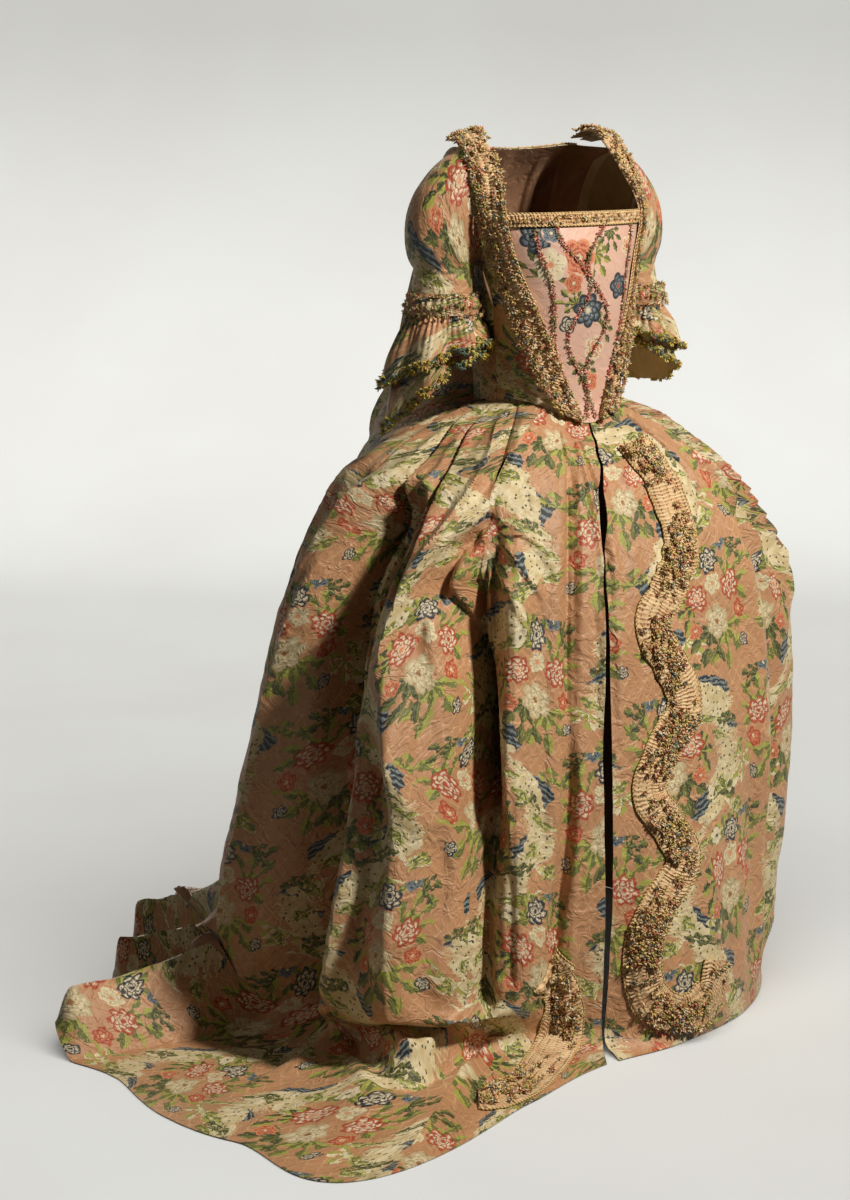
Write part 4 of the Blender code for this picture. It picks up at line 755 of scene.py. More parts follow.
def trim_line(places, points):
    """The trim's centreline as evenly spaced (direction, level)."""
    track = catmull(places, np.linspace(0, len(places) - 1, 400)).T
    run = run_along(skirt_place(*track))
    return np.stack([np.interp(np.linspace(0.0, run[-1], points), run, values) for values in track])


def band(line, half_width, columns):
    """A band of even width along a line on the skirt, as (direction, level) of its corners: the way
    across it, solved for the steps in direction and level that lead there."""
    degrees, level = line
    down = (skirt_place(degrees, level + 0.02) - skirt_place(degrees, level - 0.02)) / 0.04
    around = (skirt_place(degrees + 0.2, level) - skirt_place(degrees - 0.2, level)) / 0.4
    along = np.gradient(skirt_place(degrees, level), axis=0)
    sideways = unit(np.cross(np.cross(down, around), along))
    step = np.einsum("nij,nj->in", np.linalg.pinv(np.stack([around, down], -1)), sideways)
    return line[..., None] + step[..., None] * np.linspace(-half_width, half_width, columns)


# ---------------------------------------------------------------- sheets of cloth
SILK = 0.0014  # thickness of a sheet
Look = namedtuple("Look", "outside inside slot")
LEAST_AREA_SHARE = 0.301  # a sheet's area is at least this share of its width times its length
SIDES = (("left", False), ("right", True))  # a piece of each hand, and whether it is the mirror image


def grid_normals(points, towards, closed=False):
    """Unit normals of a grid of points, from the differences between neighbours, on one side."""
    down = np.gradient(points, axis=0)
    across = (np.roll(points, -1, 1) - np.roll(points, 1, 1)) / 2 if closed else np.gradient(points, axis=1)
    n = unit(np.cross(down, across))
    return -n if (n * towards).sum() < 0 else n


def cloth_map(points):
    """Where each corner of a grid lies in the flat cloth: lengths along its rows from their middle,
    and lengths down its columns, in metres, upwards positive."""
    across = np.linalg.norm(np.diff(points, axis=1), axis=-1)
    down = np.linalg.norm(np.diff(points, axis=0), axis=-1)
    u = np.concatenate([np.zeros((len(points), 1)), np.cumsum(across, axis=1)], axis=1)
    v = np.concatenate([np.zeros((1, points.shape[1])), np.cumsum(down, axis=0)], axis=0)
    u = u - u[:, u.shape[1] // 2][:, None]
    return np.stack([u, -v.mean(1, keepdims=True) * 0.7 - v * 0.3], -1)


def grid_area(points):
    """Area of a grid of points, and its greatest width and length."""
    a, b, c, d = points[:-1, :-1], points[:-1, 1:], points[1:, 1:], points[1:, :-1]
    area = 0.5 * np.linalg.norm(np.cross(c - a, d - b), axis=-1).sum()
    width = np.linalg.norm(np.diff(points, axis=1), axis=-1).sum(1).max()
    length = np.linalg.norm(np.diff(points, axis=0), axis=-1).sum(0).max()
    return float(area), float(width), float(length)


def mesh_of(name, points, faces, materials, slots=None, uv=None, floats=None, sharp=55.0):
    """A mesh from arrays: points, faces of equal size, a material number and UV place for each."""
    mesh = bpy.data.meshes.new(name)
    corners = faces.shape[1]
    mesh.vertices.add(len(points))
    mesh.vertices.foreach_set("co", np.ascontiguousarray(points, np.float32).ravel())
    mesh.loops.add(faces.size)
    mesh.loops.foreach_set("vertex_index", faces.astype(np.int32).ravel())
    mesh.polygons.add(len(faces))
    mesh.polygons.foreach_set("loop_start", np.arange(0, faces.size, corners, dtype=np.int32))
    for material in materials:
        mesh.materials.append(material)
    if slots is not None:
        mesh.polygons.foreach_set("material_index", slots.astype(np.int32))
    if uv is not None:
        layer = mesh.uv_layers.new(name="cloth")
        layer.uv.foreach_set("vector", np.ascontiguousarray(uv, np.float32).ravel())
    mesh.update(calc_edges=True)
    for label, values in (floats or {}).items():
        attribute = mesh.attributes.new(label, "FLOAT", "POINT")
        attribute.data.foreach_set("value", np.ascontiguousarray(values, np.float32))
    mesh.validate()
    mesh.shade_smooth()
    if sharp:
        mesh.set_sharp_from_angle(angle=math.radians(sharp))
    return mesh


def added(name, data):
    """A new object of the scene."""
    thing = bpy.data.objects.new(name, data)
    bpy.context.scene.collection.objects.link(thing)
    return thing


def piece_of(name, mesh, nodes=()):
    """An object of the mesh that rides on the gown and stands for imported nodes."""
    piece = added(name, mesh)
    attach(piece, "root")
    if nodes:
        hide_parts(*nodes)
    return piece


def placed(points, faces, places=None, mirrored=False):
    """Points brought from heights above the floor to the gown's origin. The mirror image has its
    points on the wearer's right, and its faces' corners in the other order."""
    if mirrored:
        points, faces = points * np.array([-1.0, 1.0, 1.0]), faces[:, ::-1]
        places = places if places is None else places[:, ::-1]
    return points - SHOULDER_HEIGHT * UP, faces, places


def shell_faces(rows, columns, closed):
    """Corner numbers of a closed shell round a grid: both faces, then the strips along its edges.
    The second list gives the same corners in the grid of UV places, which has one column more on a
    closed grid."""
    wide = columns + 1 if closed else columns
    r, c = np.meshgrid(np.arange(rows - 1), np.arange(wide - 1), indexing="ij")
    corner_rows = np.stack([r, r, r + 1, r + 1], -1).reshape(-1, 4)
    corner_columns = np.stack([c, c + 1, c + 1, c], -1).reshape(-1, 4)
    top = np.arange(wide)
    runs = [(0 * top, top), (0 * top + rows - 1, top[::-1])]
    if not closed:
        side = np.arange(rows)
        runs += [(side, 0 * side + columns - 1), (side[::-1], 0 * side)]
    edge_rows = np.concatenate([np.stack([a[1:], a[:-1]], -1) for a, _ in runs])
    edge_columns = np.concatenate([np.stack([b[1:], b[:-1]], -1) for _, b in runs])
    count = rows * columns

    def numbers(row, column):
        return row * columns + column % columns, row * wide + column

    face, place = numbers(corner_rows, corner_columns)
    edge, edge_place = numbers(edge_rows, edge_columns)
    faces = np.concatenate([face, face[:, ::-1] + count, np.hstack([edge, edge[:, ::-1] + count])])
    places = np.concatenate([place, place[:, ::-1], np.hstack([edge_place, edge_place[:, ::-1]])])
    kinds = np.concatenate([np.zeros(len(face)), np.ones(len(face)), np.zeros(len(edge))])
    return faces, places, kinds


def cloth(node, points, towards, look, thickness=SILK, closed=False, mirrored=False, relief=0.0,
          shift=(0.0, 0.0), held="hung", uv=None, n=None):
    """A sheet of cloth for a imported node, as a closed shell: the grid moved half the thickness both
    ways along its normals. relief lifts the outer face. shift moves the pattern on the cloth."""
    n = grid_normals(points, towards, closed) if n is None else n
    whole = np.concatenate([points, points[:, :1]], axis=1) if closed else points
    uv = cloth_map(whole) if uv is None else uv
    rows, columns = points.shape[:2]
    lift = np.broadcast_to(np.asarray(thickness / 2 + relief), (rows, columns))
    both = np.concatenate([points + n * lift[..., None], points - n * thickness / 2]).reshape(-1, 3)
    faces, places, kinds = shell_faces(rows, columns, closed)
    if (np.cross(np.gradient(points, axis=1), np.gradient(points, axis=0)) * n).sum() < 0:
        faces, places = faces[:, ::-1], places[:, ::-1]
    both, faces, places = placed(both, faces, places, mirrored)
    uv = (uv.reshape(-1, 2) + np.array(shift))[places]
    name = node + "_cloth"
    mesh = mesh_of(name, both, faces, [look.outside, look.inside], kinds, uv)
    piece = piece_of(name, mesh, [node])
    area, width, length = grid_area(whole)
    area = min(max(area, LEAST_AREA_SHARE * width * length), width * length)


def pair(name, points, towards, look, **more):
    """The left piece and its mirror image."""
    for word, mirrored in SIDES:
        cloth(f"{name}_{word}", points, towards, look, mirrored=mirrored, **more)


# ---------------------------------------------------------------- cords and fly fringe
CORD_CENTRE = np.array([0.0, 0.03, 1.2])  # the bodice's cords stand out from here
THIRDS = (0.0, 2.0944, 4.1888)  # of a turn, in radians
CORD_SIDES = 6
CORD_TWIST = 0.006  # length of one turn of the cord


def cord(name, path, radius, mirrored=False):
    """A round cord along a path: a ring of points round each point of the path. Its UV place counts
    turns of the twist along it, and goes once round."""
    along = unit(np.gradient(path, axis=0))
    side = unit(np.cross(along, np.array([0.31, 0.22, 0.93])))
    up = np.cross(side, along)
    turn = np.linspace(0.0, 2 * np.pi, CORD_SIDES + 1)[:-1]
    ring = side[:, None] * np.cos(turn)[None, :, None] + up[:, None] * np.sin(turn)[None, :, None]
    points = (path[:, None] + ring * radius).reshape(-1, 3)
    count = len(path)
    run = run_along(path) / CORD_TWIST
    r, c = np.meshgrid(np.arange(count - 1), np.arange(CORD_SIDES), indexing="ij")
    corners = ((r, c), (r, c + 1), (r + 1, c + 1), (r + 1, c))
    face = np.stack([row * CORD_SIDES + column % CORD_SIDES for row, column in corners], -1).reshape(-1, 4)
    place = np.stack([np.stack([run[row], column / CORD_SIDES], -1) for row, column in corners], 2)
    place = place.reshape(-1, 4, 2)
    ends = []
    for base, order in ((0, -1), ((count - 1) * CORD_SIDES, 1)):
        ends += [[base, base + k, base + k + 1, base + k + 2][::order] for k in range(1, CORD_SIDES - 2, 2)]
    faces = np.concatenate([face[:, ::-1], np.array(ends)])
    place = np.concatenate([place[:, ::-1], np.zeros((len(ends), 4, 2))])
    points, faces, place = placed(points, faces, place, mirrored)
    mesh = mesh_of(name, points, faces, [GOLD_CORD], uv=place.reshape(-1, 2), sharp=0)
    piece_of(name, mesh)


def tufts(name, places, outwards, downs, size, material, seed, nodes=(), blades=7, droop=0.35,
          mirrored=False, spread=1.0):
    """Fly fringe: at each place a tuft of blades fanned about the outward direction. A blade is a
    thin double pyramid of three sides: root, three corners at its widest, tip."""
    rng = np.random.default_rng(seed)
    count = len(places)
    o = unit(outwards)
    d = unit(downs - o * (downs * o).sum(1, keepdims=True))
    s = np.cross(o, d)
    turn = (np.arange(blades)[None, :] / blades + rng.uniform(0, 1, (count, 1))) * 2 * np.pi
    turn = turn + rng.uniform(-0.3, 0.3, (count, blades))
    lean = rng.uniform(0.35, 1.25, (count, blades)) * spread
    length = size * rng.uniform(0.75, 1.25, (count, 1)) * rng.uniform(0.8, 1.2, (count, blades))
    flat = np.cos(turn)[..., None] * s[:, None] + np.sin(turn)[..., None] * d[:, None]
    way = unit(np.cos(lean)[..., None] * o[:, None] + np.sin(lean)[..., None] * flat + droop * d[:, None])
    root = np.broadcast_to(places[:, None], way.shape)
    tip = root + way * length[..., None]
    middle = root + way * (length * 0.55)[..., None] + o[:, None] * (length * 0.10)[..., None]
    side = unit(np.cross(way, o[:, None] + 0.01))
    over = np.cross(side, way) * 0.7
    width = (length * 0.20)[..., None]
    corners = [middle + (side * math.cos(a) + over * math.sin(a)) * width for a in THIRDS]
    points = np.stack([root, *corners, tip], 2).reshape(-1, 3)
    template = np.array([[0, 2, 1], [0, 3, 2], [0, 1, 3], [4, 1, 2], [4, 2, 3], [4, 3, 1]])
    faces = (template[None] + 5 * np.arange(count * blades)[:, None, None]).reshape(-1, 3)
    tint = np.repeat(rng.uniform(0, 1, (count, 1)) + rng.uniform(-0.09, 0.09, (count, blades)), 5)
    points, faces, _ = placed(points, faces, None, mirrored)
    mesh = mesh_of(name, points, faces, [material], floats={"tint": np.clip(tint, 0.0, 1.0)}, sharp=0)
    piece_of(name, mesh, nodes)


# ---------------------------------------------------------------- colours and shading
def tone(red, green, blue):
    """A linear colour from 0 to 255 screen values."""
    screen = np.array([red, green, blue]) / 255.0
    linear = np.where(screen <= 0.04045, screen / 12.92, ((screen + 0.055) / 1.055) ** 2.4)
    return (*(float(x) for x in linear), 1.0)


GROUND, SCALE_LINE = tone(192, 142, 102), tone(214, 176, 130)
CREAM, IVORY = tone(208, 188, 140), tone(226, 212, 174)
LACE_DOT = tone(82, 78, 42)
RIBBON_DARK, RIBBON_LIGHT = tone(34, 42, 50), tone(128, 138, 136)
CORAL, CORAL_LIGHT = tone(176, 74, 44), tone(216, 138, 98)
PETAL_WHITE, HEART = tone(228, 214, 182), tone(150, 104, 56)
NAVY, STEEL = tone(34, 40, 52), tone(116, 130, 136)
BEIGE = tone(196, 178, 138)
LEAF_LIME, LEAF_OLIVE, LEAF_DEEP = tone(164, 164, 74), tone(104, 108, 50), tone(58, 62, 34)
LEAF_PALE = tone(206, 204, 132)

# The repeat of the brocade, in metres of cloth.
REPEAT_WIDTH, REPEAT_HEIGHT = 0.270, 0.420
BAND_HALF = 0.025
BAND_LENGTH = 1.22  # length of the band to a length of the cloth
BOUQUET_SCALE = 0.86  # of the tables to the cloth
PETAL_REACH = 1.03  # of a flower's disc to its size
RIBBON_SWING, RIBBON_TWIST, RIBBON_KNOTS = 0.105, 0.0125, 0.034  # periods along the band
RIB, THREAD = 0.0011, 0.0017  # periods of the faille
PUCKER, STITCH_ROWS = 0.0056, 0.0248  # periods of the ruched strip
SCALE_WIDTH, SCALE_HEIGHT = 0.020, 0.0125

FLOWER = "x y size petals outer inner heart"
BOUQUET = table(
    FLOWER,
    (0.016, 0.104, 0.0100, 5, NAVY, STEEL, NAVY),
    (-0.026, 0.088, 0.0110, 5, STEEL, NAVY, IVORY),
    (-0.052, -0.052, 0.0100, 5, NAVY, PETAL_WHITE, NAVY),
    (0.058, 0.096, 0.0100, 6, BEIGE, PETAL_WHITE, LEAF_DEEP),
    (0.046, -0.024, 0.0120, 5, CORAL_LIGHT, CORAL, IVORY),
    (-0.044, -0.012, 0.0125, 5, CORAL, CORAL_LIGHT, IVORY),
    (0.000, 0.036, 0.0150, 5, IVORY, BEIGE, CORAL_LIGHT),
    (0.002, 0.068, 0.0190, 7, NAVY, PETAL_WHITE, NAVY),
    (0.040, 0.064, 0.0125, 6, PETAL_WHITE, IVORY, LEAF_DEEP),
    (0.004, -0.016, 0.0240, 6, BEIGE, IVORY, HEART),
    (-0.034, 0.024, 0.0205, 7, CORAL, PETAL_WHITE, CORAL),
    (0.034, 0.022, 0.0215, 8, CORAL, PETAL_WHITE, CORAL_LIGHT),
)
SPRAY = "x y length width count turn towards_x towards_y spread light dark"
SPRAYS = table(
    SPRAY,
    (-0.010, -0.026, 0.062, 0.0160, 9, 0.4, -0.35, -1.0, 0.00, LEAF_LIME, LEAF_OLIVE),
    (0.022, -0.024, 0.056, 0.0150, 9, 0.9, 0.7, -0.7, 0.20, LEAF_OLIVE, LEAF_DEEP),
    (-0.028, 0.030, 0.056, 0.0145, 10, 1.0, -0.9, 0.5, 0.10, LEAF_LIME, LEAF_OLIVE),
    (0.016, 0.060, 0.056, 0.0140, 10, 0.0, 0.5, 1.0, 0.10, LEAF_OLIVE, LEAF_LIME),
    (0.044, 0.014, 0.046, 0.0135, 9, 0.5, 1.0, -0.1, 0.10, LEAF_LIME, LEAF_DEEP),
    (-0.040, 0.074, 0.036, 0.0125, 8, 0.2, -1.0, 0.6, -0.10, LEAF_OLIVE, LEAF_DEEP),
)
# Sprigs beside the lace band: places across it and along a half repeat.
SPRIGS = table(
    SPRAY,
    (0.006, 0.030, 0.036, 0.0150, 7, 0.2, 0.2, 1.0, -0.30, LEAF_OLIVE, LEAF_DEEP),
    (-0.042, -0.044, 0.036, 0.0150, 6, 1.2, -0.4, 1.0, -0.15, LEAF_LIME, LEAF_OLIVE),
    (0.044, 0.070, 0.036, 0.0140, 7, 0.6, 0.6, -1.0, -0.10, IVORY, LEAF_LIME),
    (0.012, -0.078, 0.032, 0.0140, 7, 0.1, 0.0, 1.0, -0.40, LEAF_OLIVE, LEAF_DEEP),
)
# Leaves either side of a vine that follows the band: places from its stem and along one step.
VINE_STEP = 0.046
VINE_TURNS, VINE_SWAY, VINE_AWAY = 41.0, 0.018, 0.026  # radians a metre, sway, distance from the band
VINE = table(
    SPRAY,
    (0.000, -0.016, 0.034, 0.0150, 8, 0.3, 0.9, 0.7, 0.10, PETAL_WHITE, LEAF_PALE),
    (0.004, -0.004, 0.030, 0.0140, 7, 0.7, 1.0, -0.4, 0.20, LEAF_LIME, LEAF_OLIVE),
)


# How the drawing strays: shift to a second noise, then the noises' scale, detail and roughness, and
# how far they carry it in metres.
STRAYING = (((3.0, 5.0, 0.0), 6.0, 1.0, 0.5, 0.045), ((7.0, 1.0, 0.0), 120.0, 2.0, 0.6, 0.011))


class Sketch:
    """A node tree being drawn: most methods add one node and give back its output."""

    def __init__(self, tree):
        self.tree = tree

    def node(self, kind, **settings):
        node = self.tree.nodes.new(kind)
        for key, value in settings.items():
            setattr(node, key, value)
        return node

    def feed(self, socket, value):
        if isinstance(value, bpy.types.NodeSocket):
            self.tree.links.new(value, socket)
        elif value is not None:
            socket.default_value = value

    def fill(self, node, sockets, values):
        for socket, value in zip(sockets, values):
            self.feed(node.inputs[socket], value)
        return node.outputs[0]

    def math(self, operation, *values):
        return self.fill(self.node("ShaderNodeMath", operation=operation), range(3), values)

    def vector(self, operation, *values):
        node = self.node("ShaderNodeVectorMath", operation=operation)
        self.fill(node, (0, 3) if operation == "SCALE" else (0, 1), values)
        return node.outputs["Value" if operation in ("LENGTH", "DOT_PRODUCT", "DISTANCE") else "Vector"]

    times_plus = partialmethod(math, "MULTIPLY_ADD")
    times = partialmethod(math, "MULTIPLY")
    minus = partialmethod(math, "SUBTRACT")
    sine = partialmethod(math, "SINE")
    cosine = partialmethod(math, "COSINE")
    size = partialmethod(math, "ABSOLUTE")
    over = partialmethod(math, "DIVIDE")
    plus = partialmethod(math, "ADD")
    greater = partialmethod(math, "MAXIMUM")
    lesser = partialmethod(math, "MINIMUM")
    modulo = partialmethod(math, "FLOORED_MODULO")
    floor = partialmethod(math, "FLOOR")
    power = partialmethod(math, "POWER")
    angle = partialmethod(math, "ARCTAN2")
    is_less = partialmethod(math, "LESS_THAN")
    is_more = partialmethod(math, "GREATER_THAN")
    nearest = partialmethod(math, "ROUND")
    to_and_fro = partialmethod(math, "PINGPONG")
    inverse_root = partialmethod(math, "INVERSE_SQRT")
    away_from = partialmethod(vector, "SUBTRACT")
    length = partialmethod(vector, "LENGTH")
    moved = partialmethod(vector, "ADD")
    scaled = partialmethod(vector, "SCALE")
    stretched = partialmethod(vector, "MULTIPLY")
    direction = partialmethod(vector, "NORMALIZE")
    dot = partialmethod(vector, "DOT_PRODUCT")
    distance = partialmethod(vector, "DISTANCE")

    def combine(self, x, y, z=0.0):
        return self.fill(self.node("ShaderNodeCombineXYZ"), range(3), (x, y, z))

    def parts(self, vector):
        node = self.node("ShaderNodeSeparateXYZ")
        self.feed(node.inputs[0], vector)
        return node.outputs[0], node.outputs[1]

    def mix(self, factor, a, b, blend="MIX"):
        node = self.node("ShaderNodeMix", data_type="RGBA", blend_type=blend)
        self.fill(node, (0, 6, 7), (factor, a, b))
        return node.outputs[2]

    def rise(self, value, low, high, bottom=0.0, top=1.0):
        """Smoothly from bottom at low to top at high."""
        node = self.node("ShaderNodeMapRange", interpolation_type="SMOOTHSTEP")
        return self.fill(node, range(5), (value, low, high, bottom, top))

    def blend(self, low_colour, high_colour, value, low, high, most=1.0):
        """From one colour towards another as a value goes from low to high."""
        return self.mix(self.rise(value, low, high, 0.0, most), low_colour, high_colour)

    def wave(self, value, period):
        return self.sine(self.times(value, 2 * math.pi / period))

    def patchy(self, place, scale, one, other):
        """Two colours in soft patches."""
        return self.blend(one, other, self.noise(place, scale, 3.0), 0.3, 0.7)

    def noise(self, vector, scale, detail=2.0, roughness=0.5, distortion=0.0):
        sockets = ("Vector", "Scale", "Detail", "Roughness", "Distortion")
        values = (vector, scale, detail, roughness, distortion)
        return self.fill(self.node("ShaderNodeTexNoise"), sockets, values)

    def cells(self, vector, scale, randomness):
        """Distance to the nearest of scattered points, in cells."""
        node = self.node("ShaderNodeTexVoronoi", voronoi_dimensions="2D", distance="MANHATTAN")
        return self.fill(node, ("Vector", "Scale", "Randomness"), (vector, scale, randomness))

    def use(self, group, **values):
        """Places a node group, fills its inputs and gives back its outputs."""
        node = self.node("ShaderNodeGroup", node_tree=group)
        for name, value in values.items():
            self.feed(node.inputs[name], value)
        return node.outputs

    def cloth_place(self):
        return self.node("ShaderNodeUVMap", uv_map="cloth").outputs[0]


# The kinds of the groups' sockets. Any other socket holds a plain number.
SOCKET_KINDS = {
    **dict.fromkeys("Under Outer Inner Heart Light Dark Ground Line Colour".split(), "NodeSocketColor"),
    **dict.fromkeys("Place Centre Numbers Towards".split(), "NodeSocketVector"),
}


def node_group(name, inputs, outputs, draw):
    """A shader node group with named inputs and outputs, filled by draw(sketch, inputs)."""
    tree = bpy.data.node_groups.new(name, "ShaderNodeTree")
    for way, labels in (("INPUT", inputs), ("OUTPUT", outputs)):
        for label in labels:
            kind = SOCKET_KINDS.get(label, "NodeSocketFloat")
            tree.interface.new_socket(label, in_out=way, socket_type=kind)
    sketch = Sketch(tree)
    start, end = sketch.node("NodeGroupInput"), sketch.node("NodeGroupOutput")
    for label, value in draw(sketch, **{label: start.outputs[label] for label in inputs}).items():
        tree.links.new(value, end.inputs[label])
    return tree


def draw_blossom(s, Under, Raised, Place, Centre, Numbers, Outer, Inner, Heart):
    """A full flower in polar coordinates: three rings of rounded petals, each ring turned from the one
    outside it. A petal is the lobe |cos| between two notches, pale in its middle, dark at its rim
    and towards the ring within. Numbers holds its radius and its count of petals."""
    size, petals = s.parts(Numbers)
    away = s.away_from(Place, Centre)
    x, y = s.parts(away)
    angle = s.times_plus(s.angle(y, x), 1.0, s.times(s.parts(Centre)[0], 97.0))
    radius = s.over(s.length(away), size)
    broken = s.noise(Place, 230.0, 2.0, 0.6)
    colour, mask = Under, None
    for ring, turned in ((1.0, 0.0), (0.70, 1.1), (0.42, 2.3)):
        swing = s.times_plus(angle, s.times(petals, 0.5), turned)
        lobe = s.size(s.cosine(swing))
        share = s.over(radius, s.times_plus(lobe, 0.26 * ring, 0.76 * ring))
        petal = s.rise(share, 1.02, 0.94)
        frayed = s.times_plus(broken, 0.42, s.minus(share, 0.21))
        body = s.blend(Inner, Outer, frayed, 0.64, 0.86)
        body = s.blend(body, Heart, frayed, 0.62, 0.46, 0.55)
        notch = s.times(s.rise(lobe, 0.24, 0.06), s.rise(share, 0.55, 0.8))
        body = s.mix(s.times(notch, 0.75), body, LEAF_DEEP)
        colour = s.mix(petal, colour, body)
        mask = petal if mask is None else mask
    colour = s.blend(colour, Heart, radius, 0.17, 0.10)
    return {"Colour": colour, "Raised": s.greater(Raised, mask)}


def draw_leaves(s, Under, Raised, Place, Centre, Length, Width, Count, Turn, Towards, Spread, Light, Dark):
    """Leaves fanned from one point: each sector of the circle holds two leaves end to end, bellied as
    a sine either side of the midrib, light on one half and dark on the other. Spread keeps those
    on one side."""
    away = s.away_from(Place, Centre)
    x, y = s.parts(away)
    radius = s.length(away)
    sector = s.times_plus(s.angle(y, x), s.over(Count, 2 * math.pi), Turn)
    number = s.nearest(sector)
    local = s.over(s.minus(sector, number), s.over(Count, 2 * math.pi))
    across = s.times(radius, s.sine(local))
    length = s.times(Length, s.times_plus(s.sine(s.times(number, 5.3)), 0.22, 0.78))
    along = s.over(radius, length)
    belly = s.power(s.size(s.sine(s.times(along, 2 * math.pi))), 0.7)
    belly = s.times(belly, s.is_less(along, 1.0))
    notch = s.times_plus(s.sine(s.times(along, 40.0)), 0.16, 1.10)
    half = s.times(s.times(Width, belly), notch)
    inside = s.rise(s.minus(half, s.size(across)), 0.0, 0.0007)
    towards = s.dot(s.direction(away), Towards)
    mask = s.times(inside, s.is_more(towards, Spread))
    colour = s.blend(Light, Dark, across, -0.0012, 0.0010)
    colour = s.blend(colour, LEAF_DEEP, s.size(across), 0.0007, 0.0002, 0.7)
    streaked = s.noise(s.combine(s.times(across, 900.0), s.times(radius, 90.0)), 1.0, 1.0)
    colour = s.blend(colour, LEAF_PALE, streaked, 0.52, 0.70, 0.55)
    return {"Colour": s.mix(mask, Under, colour), "Raised": s.greater(Raised, mask)}


def draw_scales(s, Place, Ground, Line):
    """Fish scales: two families of scalloped lines, the second half a scale along and up, that the
    weaver's hand bends and breaks."""
    bend = s.noise(Place, 22.0, 1.0)
    u, v = s.parts(s.moved(Place, s.scaled(s.combine(bend, bend), 0.014)))
    lines = []
    for along, up in ((0.0, 0.0), (0.5, 0.5)):
        arch = s.size(s.sine(s.times_plus(u, math.pi / SCALE_WIDTH, along * math.pi)))
        rise = s.times_plus(arch, 0.46, s.times_plus(v, 0.5 / SCALE_HEIGHT, up))
        lines.append(s.to_and_fro(rise, 0.5))
    line = s.rise(s.lesser(*lines), 0.085, 0.02)
    worn = s.noise(Place, 30.0, 2.0)
    line = s.times(line, s.rise(worn, 0.36, 0.60))
    return {"Colour": s.mix(s.times(line, 0.75), Ground, Line), "Raised": s.times(line, 0.35)}


def draw_lace(s, Under, Raised, Place, Across, Along, Upper):
    """A cream band whose width wanders, with furry edges and scattered dark spots, and a twisted
    two-tone ribbon in crescents on its upper edge. Across is the distance from the band's middle."""
    swell = s.noise(s.combine(Along, Upper), 13.0, 1.0)
    fur = s.noise(s.stretched(s.combine(Across, Along), (70.0, 300.0, 1.0)), 1.0, 1.0, 0.6)
    half = s.times_plus(s.rise(swell, 0.32, 0.66), 0.034, BAND_HALF - 0.018)
    edge = s.plus(half, s.times_plus(fur, 0.030, -0.016))
    apart = s.size(Across)
    mask = s.rise(s.minus(edge, apart), 0.0, 0.0012)
    spots = s.rise(s.cells(Place, 74.0, 0.85), 0.20, 0.14)
    spots = s.times(spots, s.rise(s.minus(half, apart), 0.000, 0.003))
    tinted = s.noise(Place, 50.0, 2.0)
    shade = s.blend(IVORY, CREAM, tinted, 0.35, 0.65)
    out = s.mix(mask, Under, s.mix(spots, shade, LACE_DOT))
    above = s.times(Across, Upper)
    off = s.minus(above, s.times_plus(half, 0.80, 0.004))
    crescent = s.wave(Along, RIBBON_SWING)
    thick = s.times_plus(s.greater(crescent, -0.5), 0.0075, 0.0015)
    thick = s.minus(thick, s.rise(s.size(Upper), 0.95, 0.70, 0.0, 0.02))
    knots = s.times(s.size(s.wave(Along, RIBBON_KNOTS)), 0.0026)
    thick = s.plus(thick, knots)
    ribbon = s.rise(s.minus(thick, s.size(off)), 0.0, 0.0012)
    twist = s.sine(s.times_plus(Along, 2 * math.pi / RIBBON_TWIST, s.times(off, 330.0)))
    out = s.mix(ribbon, out, s.blend(RIBBON_DARK, RIBBON_LIGHT, twist, -0.2, 0.8))
    return {"Colour": out, "Raised": s.greater(s.greater(Raised, mask), ribbon)}


